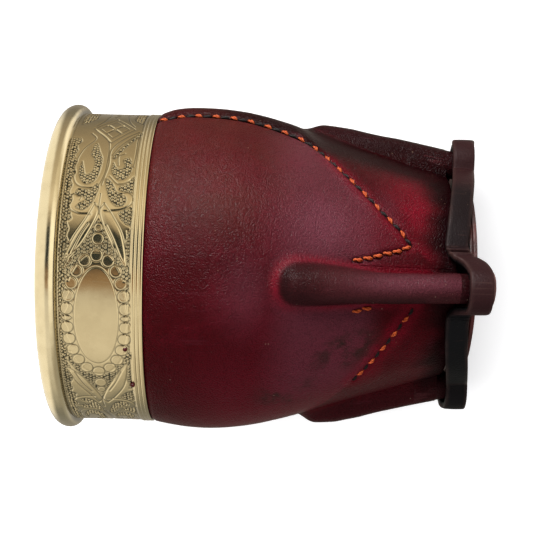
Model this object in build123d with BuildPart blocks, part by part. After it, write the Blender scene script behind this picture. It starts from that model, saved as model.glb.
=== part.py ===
"""A leather-covered gourd cup for drinking mate, with a chased metal collar and four rolled leather feet.

Millimetres, +Z up. The origin is on the ground plane under the middle of the cup, and the front
foot points along -Y. Angles called "bearing" are measured round +Z from -Y towards +X, in degrees.
"""

from build123d import *
import math
import os

# ---------------------------------------------------------------- driving dimensions

total_height = 110.0
lip_radius = 43.2
mouth_radius = 34.5
cut_reach = 75.0  # half the size of the blocks that cut the covers apart, well past the cup's own radius

# leather body: a belly swept by one large arc, met from below by a conical skirt
leather = 1.8
belly_radius = 42.5
belly_arc = 61.9
belly_z = 70.5
waist_z = 47.5
skirt_foot_radius = 26.0
skirt_foot_z = 6.0

# metal collar
collar_bottom_z = 84.7
lip_bottom_z = 103.7
band_radius = 40.85
band_sheet = 0.85
band_edge_break = 0.15
lip_crown_drop = 2.6
lip_crest_inset = 2.2
lip_inner_drop = 2.4
liner_depth = 15.0
reed_width = 0.9
reed_count = 3
reed_radius = 0.47
reed_back = 2.0

# gourd shell
gourd_wall = 3.2
gourd_gap = 0.1
gourd_top_z = 106.5
gourd_neck_z = 86.0
gourd_bottom_angle = 27.0

# feet: rolled leather rods that lean outwards as they rise
foot_bearings = {"front": 0.0, "right": 90.0, "back": 180.0, "left": 270.0}
foot_count = len(foot_bearings)
foot_radius = 3.9
core_radius = 2.6
fit_gap = 0.05
foot_base_reach = 28.5
foot_lean = 0.2355
foot_straight_z = 31.0
foot_overrun = 3.0
foot_end_round = 0.5
wrap_bottom_z = 1.0
long_foot_top = (37.9, 44.8)
short_foot_top = (36.6, 40.5)
long_feet = ("front", "back")

# base strap and sole
strap = 1.8
strap_width = 5.7
strap_low_z = 1.7
strap_rise = 3.9
strap_gap = 0.2
loop_slack = 0.7
loop_shift = 0.6
sole = 2.0
sole_radius = 27.4
sole_notch = 0.5
rise_half_width = 13.0
dip_half_width = 11.0

# seams
side_seam_bearing = 71.0
dart_plane_slopes = (0.865, 0.401)
dart_plane_z = 23.2
foot_flank = 4.6  # the gusset starts this far to the side of the front foot's middle
seam_route = [(73.0, 83.0), (72.5, 72.0), (71.0, 62.0), (68.0, 51.5), (64.7, 46.2), (20.0, 21.2)]
blind_dart_route = [(-47.0, 33.6), (-15.5, 21.0)]
flank_route = [(15.6, 23.8), (12.4, 30.0), (10.6, 34.6)]
stitch_radius = 0.5
stitch_length = 2.1
stitch_lift = 0.56
stitch_pitch = 4.5
flank_pitch = 2.7

# tacks that pin the collar to the gourd
tack_radius = 0.75
tack_head = 0.3
tack_z = 88.9
tack_bearings = (-26.0, -41.0, 154.0, 139.0)

os.makedirs("parts", exist_ok=True)


# ---------------------------------------------------------------- shared geometry

belly_centre = (belly_radius - belly_arc, belly_z)


def belly_offset_radius(inset, z):
    """Radius at height z of the belly's surface, moved in from the outside of the leather by inset."""
    return belly_centre[0] + math.sqrt((belly_arc - inset) ** 2 - (z - belly_z) ** 2)


def belly_angle(inset, z):
    """Angle, in degrees, at which the belly's arc, moved in by inset, passes height z."""
    return math.degrees(math.asin((z - belly_z) / (belly_arc - inset)))


waist_radius = belly_offset_radius(0, waist_z)
skirt_slope = (waist_radius - skirt_foot_radius) / (waist_z - skirt_foot_z)


def cover_radius(z):
    """Outside radius of the leather at height z, away from the feet."""
    if z > waist_z:
        return belly_offset_radius(0, z)
    return skirt_foot_radius + (z - skirt_foot_z) * skirt_slope


def on_bearing(radius, bearing, z):
    """The point at this radius, bearing and height."""
    angle = math.radians(bearing)
    return Vector(radius * math.sin(angle), -radius * math.cos(angle), z)


def radial_plane(bearing):
    """The upright half-plane through the axis at this bearing: local X is outwards, local Y is up."""
    outwards = on_bearing(1, bearing, 0)
    return Plane(origin=(0, 0, 0), x_dir=outwards, z_dir=outwards.cross(Vector(0, 0, 1)))


def save(builder, name):
    """Labels the finished piece and writes it as one STEP file."""
    builder.part.label = name
    export_step(builder.part, f"parts/{name}.step")


# ---------------------------------------------------------------- gourd shell

gourd_inset = leather + gourd_gap
gourd_neck_radius = belly_offset_radius(gourd_inset, gourd_neck_z)

# the round bottom is part of a sphere on the axis, tangent to the belly's arc
bottom_slope = math.radians(gourd_bottom_angle)
bottom_centre_z = belly_z + belly_centre[0] * math.tan(bottom_slope)
bottom_arc = belly_arc - gourd_inset + belly_centre[0] / math.cos(bottom_slope)


def gourd_outline(wall):
    """Half section of the gourd, moved in from its outside by this much, as a closed face."""
    inset = gourd_inset + wall
    neck = gourd_neck_radius - wall
    neck_angle = math.degrees(math.acos((neck - belly_centre[0]) / (belly_arc - inset)))
    with BuildSketch(Plane.XZ) as outline:
        with BuildLine():
            dome = CenterArc((0, bottom_centre_z), bottom_arc - wall, -90, 90 - gourd_bottom_angle)
            belly = CenterArc(belly_centre, belly_arc - inset, -gourd_bottom_angle, gourd_bottom_angle + neck_angle)
            Polyline(belly @ 1, (neck, gourd_top_z), (0, gourd_top_z), dome @ 0)
        make_face()
    return outline.sketch


gourd_outside = gourd_outline(0)
gourd_inside = gourd_outline(gourd_wall)

with BuildPart() as gourd_shell:
    add(gourd_outside)
    revolve(axis=Axis.Z)
    add(gourd_inside)
    revolve(axis=Axis.Z, mode=Mode.SUBTRACT)
save(gourd_shell, "gourd_shell")


# ---------------------------------------------------------------- metal collar

liner_outer = gourd_neck_radius - gourd_wall - fit_gap
lip_seat_z = gourd_top_z + gourd_gap
band_inner = band_radius - band_sheet

with BuildPart() as engraved_band:
    with BuildSketch(Plane.XY.offset(collar_bottom_z)):
        Circle(band_radius)
        Circle(band_inner, mode=Mode.SUBTRACT)
    extrude(amount=lip_bottom_z - collar_bottom_z)
    chamfer(engraved_band.edges().group_by(Axis.Z)[0], band_edge_break)
save(engraved_band, "engraved_band")

# the lip rolls out past the band, over the top of the gourd, and down to the liner
lip_crown = (lip_radius, total_height - lip_crown_drop)
lip_crest = (lip_radius - lip_crest_inset, total_height)
lip_inner_top = (mouth_radius, total_height - lip_inner_drop)

with BuildPart() as rolled_lip:
    with BuildSketch(Plane.XZ):
        with BuildLine():
            Line((band_inner, lip_bottom_z), (band_radius, lip_bottom_z))
            Spline((band_radius, lip_bottom_z), lip_crown, lip_crest, tangents=[(1, 0.9), (-1, -0.05)])
            Spline(lip_crest, lip_inner_top, tangents=[(-1, -0.05), (0, -1)])
            Polyline(
                lip_inner_top,
                (mouth_radius, lip_seat_z),
                (band_inner, lip_seat_z),
                (band_inner, lip_bottom_z),
            )
        make_face()
    revolve(axis=Axis.Z)
save(rolled_lip, "rolled_lip")

# a plain sheet sleeve inside the mouth, soldered to the lip
with BuildPart() as mouth_liner:
    with BuildSketch(Plane.XY.offset(lip_seat_z - liner_depth)):
        Circle(liner_outer)
        Circle(mouth_radius, mode=Mode.SUBTRACT)
    extrude(amount=liner_depth)
save(mouth_liner, "mouth_liner")

# three half-round reeds soldered round the bottom edge of the band
with BuildPart() as reeded_edge:
    with BuildSketch(Plane.XZ):
        for i in range(reed_count):
            with Locations((band_radius, collar_bottom_z + reed_width * (i + 0.5))):
                Circle(reed_radius)
        with Locations((band_radius - reed_back / 2, collar_bottom_z + reed_width * reed_count / 2)):
            Rectangle(reed_back, reed_width * reed_count + reed_back, mode=Mode.SUBTRACT)
    revolve(axis=Axis.Z)
save(reeded_edge, "reeded_edge")


# ---------------------------------------------------------------- feet


def foot_path(bearing, top):
    """The middle line of a foot: a straight lean, then a bend that follows the gourd."""
    knee = (foot_base_reach + foot_lean * foot_straight_z, foot_straight_z)
    start = (foot_base_reach - foot_lean * foot_overrun, -foot_overrun)
    with BuildLine(radial_plane(bearing)) as path:
        Line(start, knee)
        TangentArc(knee, top, tangent=(foot_lean, 1))
    return path.wires()[0]


def foot_rod(bearing, top, radius, floor_z):
    """A round rod along a foot's middle line, domed at its top and cut level at floor_z."""
    wire = foot_path(bearing, top)
    with BuildPart() as rod:
        with BuildSketch(Plane(origin=wire @ 0, z_dir=wire % 0)):
            Circle(radius)
        sweep(path=wire)
        with Locations(Location(on_bearing(top[0], bearing, top[1]))):
            Sphere(radius)
        split(bisect_by=Plane.XY.offset(floor_z), keep=Keep.TOP)
    return rod.part


def foot_top(name):
    """Reach and height of the end of a foot's middle line."""
    return long_foot_top if name in long_feet else short_foot_top


def foot_rods(radius, floor_z):
    """All the feet as rods of this radius, by name."""
    return {foot: foot_rod(b, foot_top(foot), radius, floor_z) for foot, b in foot_bearings.items()}


core_rods = foot_rods(core_radius, 0)

for foot, rod in core_rods.items():
    with BuildPart() as core:
        add(rod)
        fillet(core.faces().sort_by(Axis.Z)[0].edges(), foot_end_round)
    save(core, f"{foot}_foot_core")


# ---------------------------------------------------------------- leather covers

tongue_top_z = lip_bottom_z - fit_gap
tongue_outer = band_inner - fit_gap
tongue_inner = gourd_neck_radius + fit_gap
tuck_z = collar_bottom_z - fit_gap
waist_angle = belly_angle(0, waist_z)
tuck_angle = belly_angle(0, tuck_z)
lining_waist_angle = belly_angle(leather, waist_z)
lining_neck_angle = math.degrees(math.acos((tongue_inner - belly_centre[0]) / (belly_arc - leather)))

foot_wraps = foot_rods(foot_radius, wrap_bottom_z)
core_channels = foot_rods(core_radius + fit_gap, -foot_overrun / 2)

with BuildPart() as cover_blank:
    # outside: skirt, belly, and the pared tongue that runs up under the collar
    with BuildSketch(Plane.XZ):
        with BuildLine():
            Line((0, skirt_foot_z), (skirt_foot_radius, skirt_foot_z))
            Line((skirt_foot_radius, skirt_foot_z), (waist_radius, waist_z))
            CenterArc(belly_centre, belly_arc, waist_angle, tuck_angle - waist_angle)
            Polyline(
                (cover_radius(tuck_z), tuck_z),
                (tongue_outer, tuck_z),
                (tongue_outer, tongue_top_z),
                (0, tongue_top_z),
                (0, skirt_foot_z),
            )
        make_face()
    revolve(axis=Axis.Z)
    for wrap in foot_wraps.values():
        add(wrap)
    # inside: the gourd above, an open hollow below it, and the rods
    with BuildSketch(Plane.XZ):
        with BuildLine():
            lining = CenterArc(
                belly_centre,
                belly_arc - leather,
                lining_waist_angle,
                lining_neck_angle - lining_waist_angle,
            )
            Polyline(
                lining @ 1,
                (tongue_inner, total_height),
                (0, total_height),
                (0, 0),
                (skirt_foot_radius - leather, 0),
                (skirt_foot_radius - leather, skirt_foot_z),
                (waist_radius - leather, waist_z),
                lining @ 0,
            )
        make_face()
    revolve(axis=Axis.Z, mode=Mode.SUBTRACT)
    for channel in core_channels.values():
        add(channel, mode=Mode.SUBTRACT)


def gusset_block():
    """The space to the right of the front foot and under its dart, out to the side seam."""
    seam_end = on_bearing(cut_reach, side_seam_bearing, 0)
    dart_normal = Vector(-dart_plane_slopes[0], -dart_plane_slopes[1], 1)
    with BuildPart() as block:
        with BuildSketch():
            with BuildLine():
                Polyline(
                    (foot_flank, -foot_flank / math.tan(math.radians(side_seam_bearing))),
                    (foot_flank, -cut_reach),
                    (cut_reach, -cut_reach),
                    (seam_end.X, seam_end.Y),
                    close=True,
                )
            make_face()
        extrude(amount=cut_reach)
        split(bisect_by=Plane(origin=(0, 0, dart_plane_z), z_dir=dart_normal), keep=Keep.BOTTOM)
    return block.part


half_turn = Rotation(0, 0, 180)
gusset = gusset_block()
far_gusset = half_turn * gusset

with BuildPart() as front_region:
    with BuildSketch(Plane(origin=(0, 0, 0), x_dir=on_bearing(1, side_seam_bearing, 0), z_dir=(0, 0, 1))):
        Rectangle(2 * cut_reach, cut_reach, align=(Align.CENTER, Align.MAX))
    extrude(amount=total_height)
    add(gusset, mode=Mode.SUBTRACT)
    add(far_gusset)

with BuildPart() as front_cover:
    add(cover_blank.part)
    add(front_region.part, mode=Mode.INTERSECT)
save(front_cover, "front_cover")

with BuildPart() as back_cover:
    add(half_turn * front_cover.part)
save(back_cover, "back_cover")


# ---------------------------------------------------------------- sole and strap

sole_bottom_z = skirt_foot_z - sole

with BuildPart() as sole_plate:
    with BuildSketch(Plane.XY.offset(sole_bottom_z)):
        Circle(sole_radius)
        with PolarLocations(foot_base_reach + foot_lean * (sole_bottom_z + sole / 2), foot_count):
            Circle(foot_radius + sole_notch, mode=Mode.SUBTRACT)
    extrude(amount=sole)
save(sole_plate, "sole_plate")

strap_top_z = strap_low_z + strap_rise + strap_width
skirt_at_strap = cover_radius(strap_top_z) + strap_gap
loop_inner = foot_radius + loop_slack
loop_ring = foot_base_reach + foot_lean * (strap_low_z + strap_width / 2) + loop_shift


def upright_plane(bearing, z):
    """The plane through the axis that faces this bearing, with its local Y straight up."""
    outwards = on_bearing(1, bearing, 0)
    return Plane(origin=(0, 0, z), x_dir=Vector(0, 0, 1).cross(outwards), z_dir=outwards)


def edge_notch(half_width, side):
    """A tapered notch as deep as the strap's rise, above its base line (side 1) or below it (side -1)."""
    with BuildSketch() as notch:
        with BuildLine():
            Polyline(
                (-half_width, 0),
                (-half_width + strap_rise, side * strap_rise),
                (half_width - strap_rise, side * strap_rise),
                (half_width, 0),
                close=True,
            )
        make_face()
    return notch.sketch


rise_notch = edge_notch(rise_half_width, 1)
dip_notch = edge_notch(dip_half_width, -1)

with BuildPart() as base_strap:
    with BuildSketch(Plane.XY.offset(strap_low_z)):
        Circle(skirt_at_strap)
        with PolarLocations(loop_ring, foot_count):
            Circle(loop_inner)
        offset(amount=strap, kind=Kind.ARC)
        Circle(skirt_at_strap, mode=Mode.SUBTRACT)
        with PolarLocations(loop_ring, foot_count):
            Circle(loop_inner, mode=Mode.SUBTRACT)
    extrude(amount=strap_rise + strap_width)
    # the strap dips at each foot and rises between feet: notches trim both edges to that wave
    for bearing in foot_bearings.values():
        with BuildSketch(upright_plane(bearing + 45, strap_low_z)):
            add(rise_notch)
        extrude(amount=2 * skirt_foot_radius, mode=Mode.SUBTRACT)
        with BuildSketch(upright_plane(bearing, strap_top_z)):
            add(dip_notch)
        extrude(amount=2 * skirt_foot_radius, mode=Mode.SUBTRACT)
save(base_strap, "base_strap")


# ---------------------------------------------------------------- stitching

straight = stitch_length / 2 - stitch_radius

with BuildPart() as one_stitch:
    with BuildSketch(Plane.XY):
        with BuildLine():
            Line((-straight - stitch_radius, 0), (straight + stitch_radius, 0))
            CenterArc((straight, 0), stitch_radius, 0, 90)
            Line((straight, stitch_radius), (-straight, stitch_radius))
            CenterArc((-straight, 0), stitch_radius, 90, 90)
        make_face()
    revolve(axis=Axis.X)


def seam_points(bearing_heights, pitch):
    """Points on the leather along a list of (bearing, height) corners, one every pitch."""
    corners = [on_bearing(cover_radius(z) + stitch_lift, b, z) for b, z in bearing_heights]
    lengths = [(b - a).length for a, b in zip(corners, corners[1:])]
    total = sum(lengths)
    count = round(total / pitch)
    points = []
    for i in range(count + 1):
        travelled = total * i / count
        leg = 0
        while leg < len(lengths) - 1 and travelled > lengths[leg]:
            travelled -= lengths[leg]
            leg += 1
        share = travelled / lengths[leg]
        (b0, z0), (b1, z1) = bearing_heights[leg], bearing_heights[leg + 1]
        bearing, z = b0 + share * (b1 - b0), z0 + share * (z1 - z0)
        points.append(on_bearing(cover_radius(z) + stitch_lift, bearing, z))
    return points


def stitch_places(points, first, step):
    """Where a stitch lies on every step-th point, along the seam and flat on the leather."""
    places = []
    for i in range(first, len(points) - 1, step):
        middle = (points[i] + points[i + 1]) / 2
        along = points[i + 1] - points[i]
        outwards = Vector(middle.X, middle.Y, 0)
        places.append(Location(Plane(origin=middle, x_dir=along, z_dir=along.cross(outwards).cross(along))))
    return places


def thread(name, places, turned):
    """One thread's stitches on the leather, as a group of separate solids, with its half-turn twin if asked."""
    with BuildPart() as group:
        for place in places:
            add((half_turn * place if turned else place) * one_stitch.part)
    save(group, name)


blind_flank_route = [(-b, z) for b, z in flank_route]
seam_run = seam_points(seam_route, stitch_pitch / 2)
blind_dart_run = seam_points(blind_dart_route, stitch_pitch / 2)
flank_runs = [seam_points(flank_route, flank_pitch), seam_points(blind_flank_route, flank_pitch)]

# on the seams an orange stitch and a black one take turns; the flank rows are all orange
orange_places = stitch_places(seam_run, 0, 2) + stitch_places(blind_dart_run, 1, 2)
orange_places += stitch_places(flank_runs[0], 0, 1) + stitch_places(flank_runs[1], 0, 1)
black_places = stitch_places(seam_run, 1, 2) + stitch_places(blind_dart_run, 0, 2)

for side_name, turned in (("front", False), ("back", True)):
    thread(f"{side_name}_orange_thread", orange_places, turned)
    thread(f"{side_name}_black_thread", black_places, turned)


# ---------------------------------------------------------------- collar tacks

with BuildPart() as collar_tacks:
    for bearing in tack_bearings:
        seat = on_bearing(band_radius + tack_head, bearing, tack_z)
        with BuildSketch(Plane(origin=seat, z_dir=on_bearing(-1, bearing, 0))):
            Circle(tack_radius)
        extrude(amount=tack_head)
save(collar_tacks, "collar_tacks")
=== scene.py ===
# %% [markdown]
# # A leather-covered gourd cup for drinking mate
#
# The real cup is a dried gourd. A silversmith rolls a collar for its mouth, and a leather worker sews
# a wet cover round it and rolls four feet out of the same leather. This lesson builds the cup piece
# by piece round a fixed frame, which already has every part's size and place.
#
# All shapes are worked out in millimetres, since that is how the maker thinks, and turned into metres
# when a mesh is made. A "bearing" is an angle round the cup from the front foot towards +X.

# %% Load the frame
import math

import bpy
import numpy as np
from mathutils import Matrix, Vector


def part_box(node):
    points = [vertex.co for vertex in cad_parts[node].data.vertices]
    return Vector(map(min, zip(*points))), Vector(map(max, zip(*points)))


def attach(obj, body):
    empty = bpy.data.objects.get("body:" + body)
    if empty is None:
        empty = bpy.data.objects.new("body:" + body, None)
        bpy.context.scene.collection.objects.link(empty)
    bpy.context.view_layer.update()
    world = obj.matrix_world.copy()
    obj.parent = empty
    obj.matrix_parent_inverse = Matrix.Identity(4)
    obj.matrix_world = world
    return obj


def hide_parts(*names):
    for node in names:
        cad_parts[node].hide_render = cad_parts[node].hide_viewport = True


MM = 0.001

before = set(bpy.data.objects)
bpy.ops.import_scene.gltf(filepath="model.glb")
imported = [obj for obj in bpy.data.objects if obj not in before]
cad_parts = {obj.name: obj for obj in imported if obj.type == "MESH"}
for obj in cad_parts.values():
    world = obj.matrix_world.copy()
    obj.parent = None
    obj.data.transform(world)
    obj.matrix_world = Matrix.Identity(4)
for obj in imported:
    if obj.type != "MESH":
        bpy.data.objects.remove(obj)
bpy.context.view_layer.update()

# %% [markdown]
# The collar's and the sole's sizes are read from the frame. The leather body is one large arc for the
# belly and a cone for the skirt, and these few numbers say which arc and which cone.

# %% Sizes


def box_mm(node):
    """Lowest and highest corner of a part of the frame, in millimetres."""
    return tuple(np.array(corner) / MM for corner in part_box(node))


band_low, band_high = box_mm("engraved_band")
liner_low, liner_high = box_mm("mouth_liner")
sole_low, sole_high = box_mm("sole_plate")

COLLAR_Z = band_low[2]
LIP_Z = band_high[2]
BAND_RADIUS = band_high[0]
HEM_Z = sole_high[2]
SOLE_Z = sole_low[2]

BELLY_RADIUS = 42.5
BELLY_ARC = 61.9
BELLY_Z = 70.5
WAIST_Z = 47.5
HEM_RADIUS = 26.0
FOOT_REACH = 28.5
FOOT_LEAN = 0.2355
FOOT_RADIUS = 3.7
HALF_TURN = 180.0
print("collar from", round(COLLAR_Z, 1), "to", round(LIP_Z, 1), "mm, band radius", round(BAND_RADIUS, 2))

# %% [markdown]
# ## Camera
#
# The cup lies on its back and is looked at from straight above, mouth to the left. Here the cup stands
# upright in its own frame, so it is the camera that turns: it looks along +Y with the cup's mouth on
# its left, rolled a little.

# %% Camera
VIEW_BEARING = math.radians(5.6)
VIEW_ROLL = math.atan(0.02715)
VIEW_DISTANCE = 292.0
VIEW_HEIGHT = 55.8
VIEW_SHIFT = 1.11

forward = Vector((-math.sin(VIEW_BEARING), math.cos(VIEW_BEARING), 0))
sideways = Vector((math.cos(VIEW_BEARING), math.sin(VIEW_BEARING), 0))
upright = Vector((0, 0, 1))
image_right = -math.cos(VIEW_ROLL) * upright + math.sin(VIEW_ROLL) * sideways
image_up = math.sin(VIEW_ROLL) * upright + math.cos(VIEW_ROLL) * sideways

camera = bpy.data.objects.new("camera", bpy.data.cameras.new("camera"))
bpy.context.scene.collection.objects.link(camera)
camera.data.sensor_width = 36.0
camera.data.lens = 72.86
turn = Matrix((image_right, image_up, -forward)).transposed()
place_mm = upright * VIEW_HEIGHT - forward * VIEW_DISTANCE + image_up * VIEW_SHIFT
camera.matrix_world = Matrix.Translation(place_mm * MM) @ turn.to_4x4()
bpy.context.scene.camera = camera
print("camera", [round(x, 3) for x in camera.location])

# %% [markdown]
# ## Light
#
# A plain table-top studio: one large soft key lamp, weak fills, and a pale room. Polished metal only
# looks like metal if the room has bright and dark parts to mirror, so for mirror rays the walls and
# the ground change with their bearing: a pale wall, a dark gap, and a warm gap where the maker stands.
# The leather has next to no gloss, so that its deep red stays clean. One lamp that is seen only in gloss
# gives it a small, grainy highlight. Its broader sheen, and some of its shade, are painted into its colour.

# %% Node helpers


def place(tree, kind, sockets=None, **properties):
    """Adds a node, sets its properties, and sets or links its sockets by name or number."""
    made = tree.nodes.new(kind)
    for name, value in properties.items():
        setattr(made, name, value)
    for name, value in (sockets or {}).items():
        if isinstance(value, bpy.types.NodeSocket):
            tree.links.new(value, made.inputs[name])
        else:
            made.inputs[name].default_value = value
    return made


def maths(tree, operation, a, b=0.0, c=None):
    """One sum on values."""
    sockets = {0: a, 1: b}
    if c is not None:
        sockets[2] = c
    return place(tree, "ShaderNodeMath", sockets, operation=operation).outputs[0]


def blend_colour(tree, amount, a, b, blend_type="MIX"):
    """Colour a turning into colour b by amount."""
    made = place(tree, "ShaderNodeMix", {0: amount, 6: a, 7: b}, data_type="RGBA", blend_type=blend_type)
    return made.outputs[2]


def ramp(tree, value, stops):
    """A colour ramp from (position, colour or grey) stops."""
    made = place(tree, "ShaderNodeValToRGB", {0: value})
    elements = made.color_ramp.elements
    while len(elements) < len(stops):
        elements.new(0.5)
    for element, (position, colour) in zip(elements, stops):
        element.position = position
        grey = isinstance(colour, (int, float))
        element.color = (colour, colour, colour, 1) if grey else (*colour, 1)
    return made.outputs[0]


def fade(tree, value, low, high, start=0.0, end=1.0):
    """Value moved from the range low to high into the range start to end, smoothly and clamped."""
    sockets = {0: value, 1: low, 2: high, 3: start, 4: end}
    return place(tree, "ShaderNodeMapRange", sockets, interpolation_type="SMOOTHSTEP").outputs[0]


print("node helpers ready")

# %% Room
ROOM_LIGHT = 0.30
WALL_STOPS = [
    (0.00, (0.42, 0.38, 0.32)),
    (0.17, (0.24, 0.24, 0.21)),
    (0.27, (0.66, 0.62, 0.52)),
    (0.35, (1.00, 0.95, 0.84)),
    (0.42, (0.92, 0.87, 0.76)),
    (0.462, (0.78, 0.74, 0.66)),
    (0.472, (0.46, 0.31, 0.18)),
    (0.502, (0.36, 0.23, 0.13)),
    (0.514, (0.040, 0.050, 0.050)),
    (0.582, (0.030, 0.040, 0.040)),
    (0.602, (0.52, 0.44, 0.32)),
    (0.635, (0.98, 0.86, 0.66)),
    (0.70, (0.66, 0.56, 0.40)),
    (0.80, (0.46, 0.39, 0.29)),
    (0.90, (0.24, 0.22, 0.18)),
    (1.00, (0.42, 0.38, 0.32)),
]
SKY = (1.22, 1.16, 1.02, 1)
GROUND_STOPS = [
    (0.00, (0.90, 0.84, 0.74)),
    (0.12, (0.40, 0.39, 0.33)),
    (0.29, (0.44, 0.40, 0.32)),
    (0.36, (0.85, 0.80, 0.68)),
    (0.43, (1.30, 1.24, 1.08)),
    (0.60, (1.55, 1.48, 1.28)),
    (0.68, (1.02, 0.90, 0.68)),
    (0.74, (0.76, 0.66, 0.48)),
    (0.82, (1.45, 1.36, 1.20)),
    (1.00, (0.90, 0.84, 0.74)),
]
PIT = (0.10, 0.085, 0.075, 1)

world = bpy.data.worlds.new("studio")
bpy.context.scene.world = world
world.use_nodes = True
room = world.node_tree
room.nodes.clear()
direction = place(room, "ShaderNodeTexCoord").outputs["Generated"]
parts = place(room, "ShaderNodeSeparateXYZ", {0: direction}).outputs
turned = maths(room, "ARCTAN2", parts[0], maths(room, "MULTIPLY", parts[1], -1.0))
around = maths(room, "ADD", maths(room, "DIVIDE", turned, 2 * math.pi), 0.5)
wall = ramp(room, around, WALL_STOPS)
above = blend_colour(room, fade(room, parts[2], 0.24, 0.52), wall, SKY)
ground_colour = ramp(room, around, GROUND_STOPS)
with_ground = blend_colour(room, fade(room, parts[2], -0.12, -0.40), above, ground_colour)
wall_light = blend_colour(room, fade(room, parts[2], -0.86, -0.97), with_ground, PIT)
rays = place(room, "ShaderNodeLightPath").outputs
seen_in_gloss = maths(room, "MAXIMUM", rays["Is Glossy Ray"], rays["Is Transmission Ray"])
plain = (ROOM_LIGHT, ROOM_LIGHT, ROOM_LIGHT * 1.03, 1)
not_camera = blend_colour(room, seen_in_gloss, plain, wall_light)
room_colour = blend_colour(room, rays["Is Camera Ray"], not_camera, (1, 1, 1, 1))
shine = place(room, "ShaderNodeBackground", {"Color": room_colour})
place(room, "ShaderNodeOutputWorld", {"Surface": shine.outputs[0]})
print("room stops:", len(WALL_STOPS) + len(GROUND_STOPS))

# %% Lamps


def soft_lamp(name, bearing, elevation, distance, size, power, colour):
    """A square soft light that faces the middle of the cup."""
    lamp = bpy.data.lights.new(name, "AREA")
    lamp.energy = power
    lamp.color = colour
    lamp.size = size * MM
    made = bpy.data.objects.new(name, lamp)
    bpy.context.scene.collection.objects.link(made)
    a, e = math.radians(bearing), math.radians(elevation)
    out = Vector((math.sin(a) * math.cos(e), -math.cos(a) * math.cos(e), math.sin(e)))
    made.location = Vector((0, 0, VIEW_HEIGHT * MM)) + out * distance * MM
    made.rotation_mode = "QUATERNION"
    made.rotation_quaternion = (-out).to_track_quat("-Z", "Y")
    return made


key = soft_lamp("key", 50, 14, 520, 240, 3.1, (1.0, 0.97, 0.93))
fill = soft_lamp("fill", -45, 8, 600, 400, 1.15, (0.95, 0.97, 1.0))
back_fill = soft_lamp("back_fill", 200, 35, 600, 400, 2.0, (1.0, 0.98, 0.96))
table_lamp = soft_lamp("table_lamp", 11, 15, 520, 260, 3.6, (1.0, 1.0, 1.0))
glint = soft_lamp("glint", 50, 14, 520, 180, 11.0, (1.0, 0.98, 0.97))
glint.visible_diffuse = False
lamps = [key, fill, back_fill, glint]
for soft_only in (fill, back_fill):
    soft_only.visible_glossy = False

# the metal mirrors the room only, so these lamps light a set of pieces that leaves the metal out,
# and the table has a lamp of its own that faces it squarely and keeps the shadow short
lit_pieces = bpy.data.collections.new("lit_by_lamps")
for lamp_object in lamps:
    lamp_object.light_linking.receiver_collection = lit_pieces
table_only = bpy.data.collections.new("lit_by_table_lamp")
table_lamp.light_linking.receiver_collection = table_only
print("lamps:", [lamp_object.name for lamp_object in lamps])

# %% [markdown]
# ## Table
#
# The cup lies on a pale sheet. In the cup's own frame that sheet stands upright behind it. It has to
# look white and still keep the cup's soft shadow, so half its white is light of its own and half is
# light that it receives. Seen from behind it is clear, so that the cup's back can be looked at too.

# %% Table sheet
TABLE_Y = 44.0
TABLE_REACH = 900.0

sheet_mesh = bpy.data.meshes.new("table")
corners = [(x * TABLE_REACH, TABLE_Y, z * TABLE_REACH) for x, z in ((-1, -1), (1, -1), (1, 1), (-1, 1))]
sheet_mesh.from_pydata([tuple(value * MM for value in corner) for corner in corners], [], [(0, 1, 2, 3)])
table = bpy.data.objects.new("table", sheet_mesh)
bpy.context.scene.collection.objects.link(table)
table.visible_diffuse = False
table.visible_glossy = False
table.visible_shadow = False

paper = bpy.data.materials.new("table_paper")
paper.use_nodes = True
tree = paper.node_tree
tree.nodes.clear()
matt = place(tree, "ShaderNodeBsdfDiffuse", {"Color": (0.80, 0.80, 0.80, 1)})
own_light = place(tree, "ShaderNodeEmission", {"Color": (1, 1, 1, 1), "Strength": 0.52})
sum_light = place(tree, "ShaderNodeAddShader", {0: matt.outputs[0], 1: own_light.outputs[0]})
clear = place(tree, "ShaderNodeBsdfTransparent")
behind = place(tree, "ShaderNodeNewGeometry").outputs["Backfacing"]
one_way = place(tree, "ShaderNodeMixShader", {0: behind, 1: sum_light.outputs[0], 2: clear.outputs[0]})
place(tree, "ShaderNodeOutputMaterial", {"Surface": one_way.outputs[0]})
sheet_mesh.materials.append(paper)
table_only.objects.link(table)
print("table sheet at y =", TABLE_Y)

# %% [markdown]
# ## Mesh helpers
#
# Every piece is made from arrays of points. A grid of points becomes a skin of four-sided faces, and
# a grid that closes on itself becomes a tube or a turned shape, as on a lathe.

# %% Mesh helpers


def on_bearing(radius, bearing, z):
    """Points at these radii, bearings in degrees and heights, as an array with x, y and z last."""
    angle = np.radians(bearing)
    across, along, up = np.broadcast_arrays(radius * np.sin(angle), -radius * np.cos(angle), z)
    return np.stack([across, along, up], axis=-1)


def new_piece(name, points, faces, node_names, slot, material, sharp_angle=50.0):
    """A smooth-shaded mesh from points in millimetres, put on the frame in place of some of its parts."""
    mesh = bpy.data.meshes.new(name)
    mesh.from_pydata((np.asarray(points, float).reshape(-1, 3) * MM).tolist(), [], faces)
    mesh.validate()
    mesh.shade_smooth()
    mesh.set_sharp_from_angle(angle=math.radians(sharp_angle))
    mesh.materials.append(material)
    piece = bpy.data.objects.new(name, mesh)
    bpy.context.scene.collection.objects.link(piece)
    if not slot.endswith("_metal"):
        lit_pieces.objects.link(piece)
    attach(piece, "root")
    if node_names:
        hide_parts(*node_names)
    print(name, len(faces), "faces")
    return piece


def paint(piece, name, values):
    """Stores one number per point on a piece, for its material to read."""
    stored = piece.data.attributes.new(name, "FLOAT", "POINT")
    stored.data.foreach_set("value", np.asarray(values, np.float32).ravel())


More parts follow.
